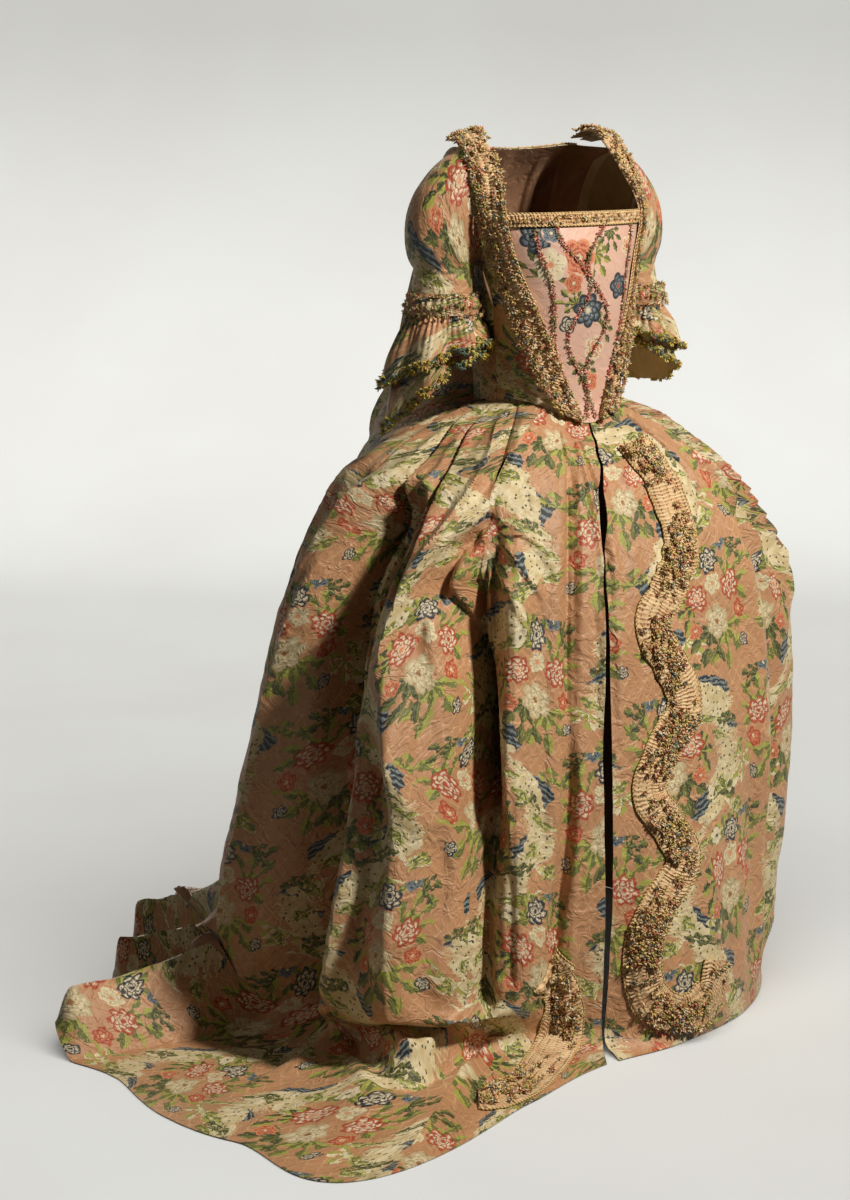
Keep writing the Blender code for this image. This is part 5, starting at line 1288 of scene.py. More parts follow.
def draw_brocade(s, Place, Ground, Line, Lace):
    """The whole design. A lace band swings from side to side once in a repeat, and a bouquet sits in
    the hollow of each swing, so every second one is half a repeat across. Lace is 0 on cloth
    without the bands."""
    place = Place
    for other, scale, detail, roughness, far in STRAYING:
        drift = s.noise(Place, scale, detail, roughness)
        stray = s.noise(s.moved(Place, other), scale, detail, roughness)
        place = s.moved(place, s.scaled(s.combine(drift, stray), far))
    u, v = s.parts(place)
    colour, raised = s.use(GROUPS["scales"], Place=Place, Ground=Ground, Line=Line)
    wave = s.times(v, 2 * math.pi / REPEAT_HEIGHT)
    middle = s.times_plus(s.cosine(wave), REPEAT_WIDTH / 4, REPEAT_WIDTH / 4)
    lean = s.sine(wave)
    steep = s.times_plus(s.power(lean, 2.0), (REPEAT_WIDTH / 4 * 2 * math.pi / REPEAT_HEIGHT) ** 2, 1.0)
    beside = s.modulo(s.minus(u, s.minus(middle, REPEAT_WIDTH / 2)), REPEAT_WIDTH)
    across = s.times(s.minus(beside, REPEAT_WIDTH / 2), s.inverse_root(steep))
    along = s.times(v, BAND_LENGTH)
    upper = s.rise(lean, -0.22, 0.22, -1.0, 1.0)
    band = s.use(GROUPS["lace"], Under=colour, Raised=raised, Place=Place, Across=across, Along=along,
                 Upper=upper)
    colour = s.mix(Lace, colour, band[0])
    raised = s.times(band[1], Lace)
    half_repeat = s.modulo(v, REPEAT_HEIGHT / 2)
    beside_band = s.combine(across, s.minus(half_repeat, REPEAT_HEIGHT / 4))
    colour, raised = sprays_on(s, SPRIGS, beside_band, colour, raised)
    step = s.floor(s.over(along, VINE_STEP))
    hand = s.times_plus(s.modulo(step, 2.0), -2.0, 1.0)
    climb = s.minus(along, s.times(s.plus(step, 0.5), VINE_STEP))
    stray = s.times_plus(s.sine(s.times(along, VINE_TURNS)), VINE_SWAY, across)
    beside_vine = s.combine(s.times(hand, s.times_plus(upper, VINE_AWAY, stray)), climb)
    colour, raised = sprays_on(s, VINE, beside_vine, colour, raised)
    row = s.floor(s.times_plus(v, 2.0 / REPEAT_HEIGHT, 0.5))
    odd = s.modulo(row, 2.0)
    shifted = s.minus(s.over(u, REPEAT_WIDTH), s.times(odd, 0.5))
    x = s.times(s.minus(shifted, s.floor(s.plus(shifted, 0.5))), REPEAT_WIDTH)
    y = s.minus(v, s.times(row, REPEAT_HEIGHT / 2))
    hand = s.times_plus(odd, -2.0, 1.0)
    here = s.scaled(s.combine(s.times(x, hand), y), BOUQUET_SCALE)
    colour, raised = sprays_on(s, SPRAYS, here, colour, raised)
    colour, raised = blossoms_on(s, BOUQUET, here, colour, raised)
    return {"Colour": colour, "Raised": raised}


def blossoms_on(s, flowers, place, colour, raised):
    """Of the flowers whose discs hold a place, the last listed is drawn there."""
    # A colour can't be below zero, so the centres are carried a metre further out.
    centre, numbers, outer, inner, heart = (9.0, 9.0, 0.0, 1.0), (0.01, 5.0, 0.0, 1.0), IVORY, IVORY, IVORY
    for flower in flowers:
        inside = s.is_less(s.distance(place, (flower.x, flower.y, 0.0)), flower.size * PETAL_REACH)
        centre = s.mix(inside, centre, (flower.x + 1.0, flower.y + 1.0, 0.0, 1.0))
        numbers = s.mix(inside, numbers, (flower.size, flower.petals, 0.0, 1.0))
        outer = s.mix(inside, outer, flower.outer)
        inner = s.mix(inside, inner, flower.inner)
        heart = s.mix(inside, heart, flower.heart)
    centre = s.away_from(centre, (1.0, 1.0, 0.0))
    return s.use(GROUPS["blossom"], Under=colour, Raised=raised, Place=place, Centre=centre, Numbers=numbers,
                 Outer=outer, Inner=inner, Heart=heart)


def sprays_on(s, sprays, place, colour, raised):
    """The colour and height with sprays of leaves drawn over them."""
    for spray in sprays:
        reach = math.hypot(spray.towards_x, spray.towards_y)
        colour, raised = s.use(
            GROUPS["leaves"], Under=colour, Raised=raised, Place=place, Centre=(spray.x, spray.y, 0.0),
            Length=spray.length, Width=spray.width / 2, Count=spray.count, Turn=spray.turn,
            Towards=(spray.towards_x / reach, spray.towards_y / reach, 0.0), Spread=spray.spread,
            Light=spray.light, Dark=spray.dark,
        )
    return colour, raised


def draw_silk(s, Place, Colour, Raised, Crinkle):
    """Silk faille: fine ribs across the cloth, slightly uneven dyeing, soft crinkles, and floss that
    stands a little out of the ground."""
    u, v = s.parts(Place)
    rib = s.wave(v, RIB)
    thread = s.wave(u, THREAD)
    cloud = s.noise(Place, 7.0, 3.0, 0.6)
    streak = s.noise(s.stretched(Place, (420.0, 26.0, 1.0)), 1.0, 2.0)
    shade = s.plus(s.rise(cloud, 0.25, 0.75, 0.90, 1.06), s.times_plus(streak, 0.10, -0.05))
    colour = s.mix(1.0, Colour, s.combine(shade, shade, shade), "MULTIPLY")
    crease = s.noise(Place, 34.0, 3.0, 0.55, 0.9)
    fold = s.size(s.minus(crease, 0.5))
    height = s.times(s.rise(fold, 0.0, 0.16), Crinkle)
    height = s.plus(height, s.times(s.times(rib, thread), 0.05))
    rough = s.times_plus(Raised, 0.12, s.times_plus(cloud, 0.10, 0.40))
    return {"Colour": colour, "Roughness": rough, "Height": height}


def draw_ruched(s, Place, Raised):
    """Gathered strip: fine puckers across it, and rows of stitches along it. Its colour has painted shade
    in the hollows where a stitch row meets a pucker's trough, and a painted highlight on the puckers'
    crests."""
    u, v = s.parts(Place)
    wobble = s.noise(Place, 60.0, 2.0)
    pucker = s.sine(s.times_plus(v, 2 * math.pi / PUCKER, s.times(wobble, 5.0)))
    row = s.size(s.wave(u, STITCH_ROWS))
    patch = s.noise(Place, 40.0, 3.0, 0.7)
    floss = s.noise(Place, 150.0, 2.0)
    colour = s.blend(tone(206, 160, 116), tone(222, 190, 144), patch, 0.40, 0.60)
    colour = s.blend(colour, tone(182, 112, 78), floss, 0.60, 0.68, 0.55)
    colour = s.blend(colour, tone(150, 140, 78), floss, 0.40, 0.32, 0.55)
    # Painted highlight: the colour is lightened on the raised crests of the puckers.
    colour = s.blend(colour, tone(238, 214, 164), pucker, 0.3, 0.95, 0.5)
    # Painted shade: darker where a stitch row meets a pucker's trough, the lowest hollows of the relief.
    drawn = s.times(s.rise(row, 0.42, 0.12), s.rise(pucker, 0.35, -0.35))
    colour = s.mix(s.times(drawn, 0.80), colour, tone(84, 58, 36))
    height = s.times_plus(pucker, 0.4, s.times(row, 0.8))
    return {"Colour": colour, "Height": s.plus(height, Raised)}


GROUPS = {}
for key, name, draw, outputs, inputs in (
    ("blossom", "Blossom", draw_blossom, "Colour Raised",
     "Under Raised Place Centre Numbers Outer Inner Heart"),
    ("leaves", "Leaf spray", draw_leaves, "Colour Raised",
     "Under Raised Place Centre Length Width Count Turn Towards Spread Light Dark"),
    ("scales", "Scale ground", draw_scales, "Colour Raised", "Place Ground Line"),
    ("lace", "Lace band", draw_lace, "Colour Raised", "Under Raised Place Across Along Upper"),
    ("brocade", "Brocade design", draw_brocade, "Colour Raised", "Place Ground Line Lace"),
    ("silk", "Silk faille", draw_silk, "Colour Roughness Height", "Place Colour Raised Crinkle"),
    ("ruched", "Ruched strip", draw_ruched, "Colour Height", "Place Raised"),
):
    GROUPS[key] = node_group(name, inputs.split(), outputs.split(), draw)


def new_material(name, roughness, sheen=0.0):
    """A material with its Principled shader, and a sketch of its tree."""
    material = bpy.data.materials.new(name)
    material.use_nodes = True
    sockets = material.node_tree.nodes["Principled BSDF"].inputs
    for label, value in (("Roughness", roughness), ("Sheen Weight", sheen), ("Sheen Roughness", 0.45),
                         ("Sheen Tint", IVORY)):
        sockets[label].default_value = value
    return material, Sketch(material.node_tree)


def surfaced(s, colour, height, distance, roughness=None, strength=1.0):
    """Gives the Principled shader its colour and roughness, and a relief of this depth."""
    sockets = s.tree.nodes["Principled BSDF"].inputs
    s.feed(sockets["Base Color"], colour)
    s.feed(sockets["Roughness"], roughness)
    relief = s.node("ShaderNodeBump")
    s.fill(relief, ("Strength", "Distance", "Height"), (strength, distance, height))
    s.feed(sockets["Normal"], relief.outputs[0])


def brocade_material(name, ground, line):
    """Brocaded silk: the design over a scale ground, on faille."""
    material, s = new_material(name, 0.45, 0.18)
    place = s.cloth_place()
    colour, raised = s.use(GROUPS["brocade"], Place=place, Ground=ground, Line=line, Lace=1.0)
    colour, roughness, height = s.use(GROUPS["silk"], Place=place, Colour=colour, Raised=raised, Crinkle=1.0)
    surfaced(s, colour, height, 0.0011, roughness)
    return material


STOMACHER_FLOWERS = table(
    FLOWER,
    (-0.090, -0.034, 0.0263, 6, NAVY, STEEL, IVORY),
    (-0.065, -0.028, 0.0150, 5, STEEL, NAVY, IVORY),
    (-0.022, -0.066, 0.0312, 6, CORAL_LIGHT, CORAL, PETAL_WHITE),
    (-0.068, -0.076, 0.0263, 5, PETAL_WHITE, IVORY, CORAL_LIGHT),
    (-0.031, -0.104, 0.0163, 5, CORAL_LIGHT, CORAL, IVORY),
    (0.081, -0.052, 0.0163, 5, PETAL_WHITE, CORAL_LIGHT, HEART),
    (-0.003, -0.146, 0.0275, 7, NAVY, STEEL, PETAL_WHITE),
    (0.059, -0.112, 0.0213, 5, NAVY, STEEL, CORAL),
    (-0.037, -0.168, 0.0150, 4, NAVY, PETAL_WHITE, STEEL),
    (0.013, -0.205, 0.0200, 5, PETAL_WHITE, CORAL_LIGHT, CORAL),
    (0.007, -0.258, 0.0163, 5, CORAL_LIGHT, CORAL, IVORY),
)
STOMACHER_SPRAYS = table(
    SPRAY,
    (-0.078, -0.094, 0.0528, 0.0090, 11, 0.3, 0.1, 1.0, -0.2, LEAF_OLIVE, LEAF_DEEP),
    (0.009, -0.060, 0.0418, 0.0112, 9, 0.6, 1.0, -0.2, 0.0, LEAF_LIME, LEAF_OLIVE),
    (0.040, -0.026, 0.0374, 0.0083, 10, 0.9, 0.2, -1.0, -0.1, LEAF_OLIVE, LEAF_DEEP),
    (-0.025, -0.136, 0.0374, 0.0097, 10, 0.1, -0.6, 0.6, -0.3, LEAF_LIME, LEAF_DEEP),
    (0.025, -0.172, 0.0352, 0.0090, 9, 0.4, 0.6, 0.4, -0.3, LEAF_OLIVE, LEAF_DEEP),
    (-0.003, -0.232, 0.0330, 0.0083, 9, 0.7, 0.0, -1.0, -0.5, LEAF_OLIVE, LEAF_DEEP),
)


def stomacher_material(name):
    """Pale pink silk, with loose sprays set down its middle."""
    material, s = new_material(name, 0.5, 0.15)
    place = s.cloth_place()
    ground = s.patchy(place, 14.0, tone(228, 190, 170), tone(220, 176, 154))
    colour, raised = sprays_on(s, STOMACHER_SPRAYS, place, ground, 0.0)
    colour, raised = blossoms_on(s, STOMACHER_FLOWERS, place, colour, raised)
    colour, roughness, height = s.use(GROUPS["silk"], Place=place, Colour=colour, Raised=raised, Crinkle=0.5)
    surfaced(s, colour, height, 0.0008, roughness)
    return material


def plain_material(name, colour, darker):
    """Plain silk or linen lining, a little uneven."""
    material, s = new_material(name, 0.6, 0.10)
    place = s.cloth_place()
    uneven = s.patchy(place, 16.0, colour, darker)
    colour, _, height = s.use(GROUPS["silk"], Place=place, Colour=uneven, Raised=0.0, Crinkle=0.6)
    surfaced(s, colour, height, 0.0010)
    return material


def ruched_material(name):
    """Gathered silk strip."""
    material, s = new_material(name, 0.62, 0.2)
    colour, height = s.use(GROUPS["ruched"], Place=s.cloth_place(), Raised=0.0)
    surfaced(s, colour, height, 0.0013)
    return material


def floss_material(name, colours):
    """Knotted floss: one of a few colours for each tuft, by its tint, darker at random."""
    material, s = new_material(name, 0.55, 0.3)
    ramp = s.node("ShaderNodeValToRGB")
    ramp.color_ramp.interpolation = "CONSTANT"
    elements = ramp.color_ramp.elements
    while len(elements) < len(colours):
        elements.new(0.5)
    for k, colour in enumerate(colours):
        elements[k].position = k / len(colours)
        elements[k].color = tone(*colour)
    s.feed(ramp.inputs[0], s.node("ShaderNodeAttribute", attribute_name="tint").outputs["Fac"])
    where = s.node("ShaderNodeTexCoord").outputs["Object"]
    shade = s.rise(s.noise(where, 260.0, 1.0), 0.3, 0.7, 0.72, 1.15)
    colour = s.mix(1.0, ramp.outputs[0], s.combine(shade, shade, shade), "MULTIPLY")
    surfaced(s, colour, s.noise(where, 900.0, 1.0), 0.0005)
    return material


def cord_material(name, light, dark):
    """Twisted cord: two colours wound round it, by its own UV place."""
    material, s = new_material(name, 0.55, 0.2)
    wind = s.sine(s.times(s.plus(*s.parts(s.cloth_place())), 2 * math.pi))
    surfaced(s, s.blend(dark, light, wind, -0.6, 0.6), wind, 0.0006)
    return material


STOMACHER_SILK = stomacher_material("stomacher silk")
LINING = plain_material("cream lining", tone(206, 186, 140), tone(186, 166, 126))
RUCHED = ruched_material("ruched trimming")
TRIM_FLOSS = floss_material(
    "fly fringe of the trimming",
    ((234, 200, 124), (176, 168, 92), (234, 164, 128), (246, 232, 196), (214, 158, 100), (128, 140, 132),
     (240, 214, 148), (194, 112, 80), (208, 190, 108), (240, 212, 170)),
)
FLOUNCE_FLOSS = floss_material(
    "fly fringe of the flounces",
    ((222, 192, 74), (206, 176, 64), (228, 206, 108), (122, 146, 120), (106, 130, 126), (176, 172, 80),
     (216, 190, 78)),
)
STOMACHER_FLOSS = floss_material(
    "fly braid of the stomacher",
    ((238, 150, 130), (150, 152, 84), (246, 194, 172), (222, 120, 104), (248, 226, 200), (124, 128, 76),
     (240, 166, 146)),
)
GOLD_CORD = cord_material("edge cord", tone(226, 200, 138), tone(160, 122, 64))
BROCADE = brocade_material("brocaded silk", GROUND, SCALE_LINE)
WRONG_SIDE = plain_material("wrong side of the silk", tone(168, 128, 98), tone(146, 106, 80))
UNLINED = Look(BROCADE, WRONG_SIDE, "brocade")
LINED = Look(BROCADE, LINING, "brocade")
CUFF = Look(BROCADE, LINING, "trimming")
STRIP = Look(RUCHED, LINING, "trimming")
STOMACHER = Look(STOMACHER_SILK, LINING, "stomacher_silk")


# ---------------------------------------------------------------- skirt and sack back
def even_levels(start, end, direction, rows):
    """Levels from start to end whose points lie evenly down the cloth at one direction."""
    fine = np.linspace(start, end, 600)
    run = run_along(skirt(np.full_like(fine, direction), fine, creased=False))
    return np.interp(np.linspace(0.0, run[-1], rows), run, fine)


def away_or_up(points):
    """A direction that points out of the hanging cloth, and up from the cloth on the floor."""
    return unit(points * LEVELLED) + 0.6 * UP


def grid(down, rows, across, columns, closed=False):
    """Two parameters at even steps, down the rows and across the columns. On a closed grid the last
    column stops a step short of the first."""
    across = np.linspace(*across, columns + closed)[:columns]
    return np.meshgrid(np.linspace(*down, rows), across, indexing="ij")


WAIST_TUCK = np.array([0.975, 0.975, 1.0])  # the skirt's top row goes in and up behind the bodice
WAIST_TUCK_RISE = 0.007


def skirt_panel(name, start, end, rows, columns, shift, crowd=1.0):
    """A skirt panel between two seams, tucked under the bodice at the waist. A crowd over 1 draws its
    columns towards the start."""
    halfway = np.array(5.0)
    level = even_levels(0.0, LAST, float(np.mean([start(halfway), end(halfway)])), rows)[:, None]
    level, share = np.broadcast_arrays(level, np.linspace(0.0, 1.0, columns) ** crowd)
    points = skirt_place(start(level) * (1 - share) + end(level) * share, level)
    points = np.concatenate([points[:1] * WAIST_TUCK + WAIST_TUCK_RISE * UP, points])
    cloth(name, points, away_or_up(points), UNLINED, shift=shift, held="gathered")


# Rows, columns and pattern shift of each front panel.
for word, side, front_grid, shift in (
    ("left", 1, (200, 70), (0.060, 0.128)),
    ("right", -1, (220, 90), (-0.045, 0.020)),
):
    opening = seam_edge(OPENING, 1, side, opening_half)
    pocket = seam_edge(POCKET_SEAM, side, -side, pocket_half)
    skirt_panel(f"skirt_front_{word}", opening, pocket, *front_grid, shift)

# Rows, columns, pattern shift and crowd of each side panel.
for word, side, side_grid, shift, crowd in (
    ("left", 1, (132, 66), (0.110, 0.060), 1.0),
    ("right", -1, (238, 190), (0.020, 0.105), 1.35),
):
    pocket = seam_edge(POCKET_SEAM, side, side, pocket_half)
    back = seam_edge(BACK_SEAM, side, -side, sewn_half)
    skirt_panel(f"skirt_side_{word}", pocket, back, *side_grid, shift, crowd)


def sack_piece():
    """The back in one sheet, from the neck to the end of the train."""
    upper = np.linspace(-SACK_UPPER, 0.0, 54)[:-1]
    level = np.concatenate([upper, even_levels(0.0, LAST, 180.0, 108)])[:, None]
    below = np.clip(level, 0.0, LAST)
    seam = stepped(BACK_SEAM, below)
    gap = seam_shift(seam, below, SEAM_HALF_GAP) / (180.0 - seam)
    gap = np.where(level < 0, SIDE_GAP / SACK_HALF_WIDTH, gap)
    level, share = np.broadcast_arrays(level, np.clip(np.linspace(-1.0, 1.0, 122), -1 + gap, 1 - gap))
    points = sack(share, level)
    cloth("sack_back", points, away_or_up(points), UNLINED, shift=(0.0, 0.05))


sack_piece()


# ---------------------------------------------------------------- bodice
UNDER_ROBING = 0.4  # how far across the half front the bodice's edge lies
FRONT_SUNK = 0.0004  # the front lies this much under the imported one's middle


def body_side(points):
    """Which way is out of the body."""
    return points - BODY_CENTRE


def front_reach(row):
    """How far across the front reaches: to the armhole, and short of it over the shoulder."""
    return 1.985 - 0.985 * smooth(row, 4.1, 5.1)


def gathers(uv, wave, width, length, seed):
    """Fine gathers: waves down a strip of cloth, bent by a random field."""
    bend = 3 * rumple(uv[..., 0] / width, uv[..., 1] / length, seed)
    return np.sin(uv[..., 1] / wave * 2 * np.pi + bend)


def bodice():
    """Fronts, sides and robings, each of a left piece and its mirror image."""
    row, share = grid((0.0, STRAP_END), 80, (0.0, 1.0), 34)
    points = half_front(row, UNDER_ROBING + (front_reach(row) - UNDER_ROBING) * share)
    n = grid_normals(points, body_side(points))
    pair("front", points - n * FRONT_SUNK, body_side(points), LINED, shift=(0.03, 0.08))
    points = side_panel(*grid((-0.02, 1.0), 44, (-0.03, 1.0), 22))
    pair("side", points, body_side(points), LINED, shift=(0.1, 0.02))
    row, across = grid((0.0, STRAP_END), 260, (-0.02, 0.99), 26)
    points = half_front(row, across)
    n = grid_normals(points, body_side(points))
    uv = cloth_map(points)
    rows_of_stitch = 0.0014 * np.abs(np.sin(across * np.pi * 4))
    crown = 0.0022 * np.sin(np.pi * np.clip(across, 0, 1)) ** 0.5
    ruffle = 0.0011 * gathers(uv, 0.0062, 0.012, 0.02, 4)
    relief = ruffle * np.clip(rows_of_stitch / 0.0008, 0.2, 1.0) + rows_of_stitch + crown
    pair("robing", points + n * LIFT, body_side(points), STRIP, relief=relief, uv=uv, n=n)
    row = np.linspace(0.02, STRAP_END - 0.02, 240)
    out = unit(half_front(row, 0.5) - CORD_CENTRE)
    for word, mirrored in SIDES:
        for across, label in ((0.0, "inner"), (0.97, "outer")):
            path = half_front(row, across) + out * (LIFT + 0.0024)
            cord(f"robing_{label}_cord_{word}", path, 0.0013, mirrored)


bodice()


def scatter(first, second, count, seed):
    """Random places in a rectangle of two parameters, spread out by a shuffled grid."""
    rng = np.random.default_rng(seed)
    a = (np.arange(count) + rng.uniform(0, 1, count)) / count
    b = (rng.permutation(count) + rng.uniform(0, 1, count)) / count
    return first[0] + (first[1] - first[0]) * a, second[0] + (second[1] - second[0]) * b


def on_surface(surface, first, second, lift):
    """Places on a surface of the bodice, lifted along its normals, with the normals and the way down."""
    point = surface(first, second)
    n = facing(normals(surface, first, second, (0.01, 0.01)), body_side(point))
    return point + n * lift, n, surface(first - 0.02, second) - surface(first + 0.02, second)


def robing_fringe():
    """Fly fringe down the robings: thick along the outer half, thinner towards the inner edge."""
    rows = (0.1, STRAP_END - 0.3)
    outer = on_surface(half_front, *scatter(rows, (0.66, 1.02), 300, 11), LIFT + 0.0052)
    row, across = scatter(rows, (0.00, 0.60), 190, 12)
    inner = on_surface(half_front, row, 0.60 * (across / 0.60) ** 1.9, LIFT + 0.0048)
    flies = [np.concatenate(both) for both in zip(outer, inner)]
    for word, mirrored in SIDES:
        tufts(f"robing_fringe_{word}", *flies, 0.0074, TRIM_FLOSS, 21, mirrored=mirrored)


robing_fringe()


# ---------------------------------------------------------------- stomacher and neck
STOMACHER_TURN = 11.0  # degrees from the middle to the edge at the waist
# Lines of fly braid: place across the stomacher, swing to the sides, and where the wave starts.
BRAIDS = ((-0.80, 0.06, 0.4), (-0.30, 0.26, 0.0), (0.16, 0.26, 1.9), (0.84, 0.04, 2.2))


def stomacher_piece():
    """The pointed panel between the robings, wider in its upper half."""
    share, across = grid((1.0, 0.0), 70, (-1.0, 1.0), 64)
    across = across * (1.0 + 0.22 * smooth(share, 0.15, 0.6))
    foot = waistline(STOMACHER_TURN * across) + WAIST_GAP
    points = stomacher_surface(foot + (NECKLINE - foot) * share, across)
    cloth("stomacher", points, body_side(points), STOMACHER, shift=(0.004, 0.0))


def stomacher_braid():
    """Waving lines of fly braid down the stomacher."""
    places, outs = [], []
    share = np.linspace(0.03, 0.97, 58)
    height = FRONT_FOOT + (NECKLINE - FRONT_FOOT) * share
    for start, swing, phase in BRAIDS:
        across = start + swing * np.sin(share * 3 * 2 * np.pi / 1.6 + phase)
        place, n, _ = on_surface(stomacher_surface, height, across, TUFT_ROOT_LIFT)
        keep = place[:, 2] > waistline(STOMACHER_TURN * across) + 0.012
        places.append(place[keep])
        outs.append(n[keep])
    tufts("stomacher_braid", np.concatenate(places), np.concatenate(outs), -UP, 0.0060, STOMACHER_FLOSS, 31,
          spread=1.35, blades=8)


def neck_band():
    """Gathered band along the top of the stomacher, with flies on it, and a cord at either edge."""
    height, across = grid((NECKLINE - 0.0165, NECKLINE + 0.0035), 12, (-1.16, 1.16), 260)
    points = stomacher_surface(height, across)
    n = grid_normals(points, body_side(points))
    up = np.linspace(0, 1, 12)[:, None]
    gather = np.sin(across * 150 + 2 * rumple(across * 40, up * 2, 5))
    relief = (0.0016 + 0.0013 * gather) * np.sin(np.pi * up) ** 0.5
    cloth("neck_ruche", points + n * BAND_LIFT, body_side(points), STRIP, relief=relief)
    count = 44
    level = NECKLINE - 0.007 + np.random.default_rng(6).uniform(-0.005, 0.005, count)
    place, n, _ = on_surface(stomacher_surface, level, np.linspace(-1.1, 1.1, count), 0.004)
    tufts("neck_flies", place, n, -UP, 0.0055, TRIM_FLOSS, 33)
    for rise, label in ((0.003, "upper"), (-0.016, "lower")):
        path = stomacher_surface(np.full(120, NECKLINE + rise), np.linspace(-1.14, 1.14, 120))
        cord(f"neck_{label}_cord", path + unit((path - CORD_CENTRE) * LEVELLED) * 0.0034, 0.0012)


def back_band():
    """Narrow gathered band round the back of the neck."""
    level, share = grid((-5.70, -5.99), 8, (-0.60, 0.60), 120)
    points = sack(share, level)
    n = grid_normals(points, away_or_up(points))
    relief = 0.0012 + 0.0009 * np.sin(share * 190)
    cloth("back_neck_band", points + n * LIFT, away_or_up(points), STRIP, relief=relief)


stomacher_piece()
stomacher_braid()
neck_band()
back_band()


# ---------------------------------------------------------------- sleeves, cuffs and flounces
# Rings of flies on the cuff: height, radius, count.
CUFF_FLIES = ((1.119, 0.0515, 46), (1.105, 0.0575, 30), (1.093, 0.0585, 46))
FLOUNCE_FLIES = 190
# The sleeve's head goes past the armhole's edge by this share of the way there, and under it.
HEAD_REACH, HEAD_TUCK, HEAD_TUCK_HALFWAY = 2.4, 0.0045, 0.001


def from_arm(points):
    """Which way is out of the arm, from the middle of each row."""
    return points - points.mean(1, keepdims=True)


def round_arm(radius, degrees, height, gap):
    """Points round the elbow that keep a gap from the body."""
    middle = elbow(0.0)
    x = clear_of_body(middle[0] + radius * np.sin(np.radians(degrees)), height, gap)
    return np.stack([x, middle[1] - radius * np.cos(np.radians(degrees)), height], -1)


def round_steps(rng, count):
    """Directions all the way round, one to a step, each a little off its place."""
    return (np.arange(count) + rng.uniform(-0.3, 0.3, count)) / count * 360.0


def sleeves():
    """The sleeve, drawn in a little under the arm, with creases at the bend of the elbow."""
    turn = np.concatenate([np.linspace(-0.035, SLEEVE_TURN, 36), np.linspace(SLEEVE_TURN, 1.0, 26)[1:]])
    turn, around = np.meshgrid(turn, np.linspace(0.0, 360.0, 81)[:-1], indexing="ij")
    points = sleeve(turn, around) + np.array([SLEEVE_CLEAR, 0.0, 0.0])
    n = grid_normals(points, from_arm(points), closed=True)
    crease = 0.0016 * rumple(turn * 9, around / 26.0, 7) + 0.0010 * rumple(turn * 22, around / 60.0, 8)
    points = points + n * (crease * smooth(turn, 0.0, 0.2))[..., None]
    head = armhole(around[0]) - points[0]
    inmost = points[0] + head * HEAD_REACH - np.array([HEAD_TUCK, 0.0, 0.0])
    inner = (inmost + points[0]) / 2 - np.array([HEAD_TUCK_HALFWAY, 0.0, 0.0])
    points = np.concatenate([inmost[None], inner[None], points])
    pair("sleeve", points, from_arm(points), LINED, closed=True, shift=(0.06, 0.03))


def cuffs():
    """Ruched cuff over the seam of the flounces, with flies along both edges."""
    up, around = grid((0, 1), 14, (0.0, 360.0), 240, closed=True)
    bulge = 0.0040 + 0.0040 * up + 0.0030 * np.sin(np.pi * up)
    gather = np.sin(34 * np.radians(around) + 2.2 * rumple(around / 14.0, up * 3, 9))
    gather = 0.0022 * gather * np.sin(np.pi * np.clip(up, 0.08, 0.92))
    points = round_arm(SLEEVE_HALF_WIDTH + bulge + gather, around, 1.123 - 0.032 * up, 0.0036)
    pair("cuff_ruche", points, from_arm(points), CUFF, closed=True)
    rng = np.random.default_rng(41)
    for word, mirrored in SIDES:
        places, outs = [], []
        for height, radius, count in CUFF_FLIES:
            around = round_steps(rng, count)
            places.append(round_arm(radius, around, height + rng.uniform(-0.003, 0.003, count), 0.006))
            outs.append(polar(1.0, around, 0.0))
        tufts(f"cuff_flies_{word}", np.concatenate(places), np.concatenate(outs), -UP, 0.0058, TRIM_FLOSS,
              43, mirrored=mirrored)


def carried_higher(points, flounce):
    """The wearer's left flounce, whose long side the bent arm carries higher: what lies below its
    short side is drawn up halfway."""
    low = np.minimum(points[..., 2] - (flounce.start - flounce.short - 0.012), 0.0)
    return points - 0.5 * low[..., None] * UP


def flounces():
    """Gathered cones, long behind the elbow, with fly fringe along their edges. Their gathers are
    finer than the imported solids'."""
    for flounce, gap in zip(FLOUNCES, FLOUNCE_BODY_GAPS):
        surface, middle = flounce_surface(flounce, gap), elbow(flounce.start)
        down, around = grid((0.0, 1.0), 30, (0.0, 360.0), 204, closed=True)
        points = surface(down, around)
        away = points - middle
        n = grid_normals(points, away, closed=True)
        gather = np.sin(np.radians(around) * 46 + 2.5 * rumple(around / 11.0, down * 2.0, 10))
        gather = 0.0016 * gather * (1 - 0.75 * smooth(down, 0.1, 0.9))
        wave = 0.0024 * rumple(around / 17.0, down * 3.0, 12) * smooth(down, 0.1, 0.7)
        points = points + n * (gather + wave)[..., None]
        rng = np.random.default_rng(51)
        around = round_steps(rng, FLOUNCE_FLIES)
        edge = 1.0 - rng.uniform(0.0, 0.13, FLOUNCE_FLIES) * 0.07 / flounce.short
        place = surface(edge, around)
        n = facing(normals(surface, edge, around, (0.01, 0.5)), place - middle)
        down = place - surface(edge - 0.05, around)
        for word, mirrored in SIDES:
            hung = (points, place)
            if not mirrored:
                hung = [carried_higher(each, flounce) for each in hung]
            cloth(f"flounce_{flounce.name}_{word}", hung[0], away, LINED, closed=True, mirrored=mirrored,
                  shift=(0.02, 0.07), held="gathered")
            name = f"fringe_{flounce.name}"
            tufts(f"{name}_flies_{word}", hung[1] + n * TUFT_ROOT_LIFT, n + 0.7 * unit(down), down, 0.0078,
                  FLOUNCE_FLOSS, 52, [f"{name}_{word}"], droop=0.5, mirrored=mirrored)


sleeves()
cuffs()
flounces()


# ---------------------------------------------------------------- serpentine trimming
TRIM_REACH, TRIM_COLUMNS = 0.031, 22
TRIM_STEP = 0.0028  # length of a trim's row
FLIES_A_METRE = 620


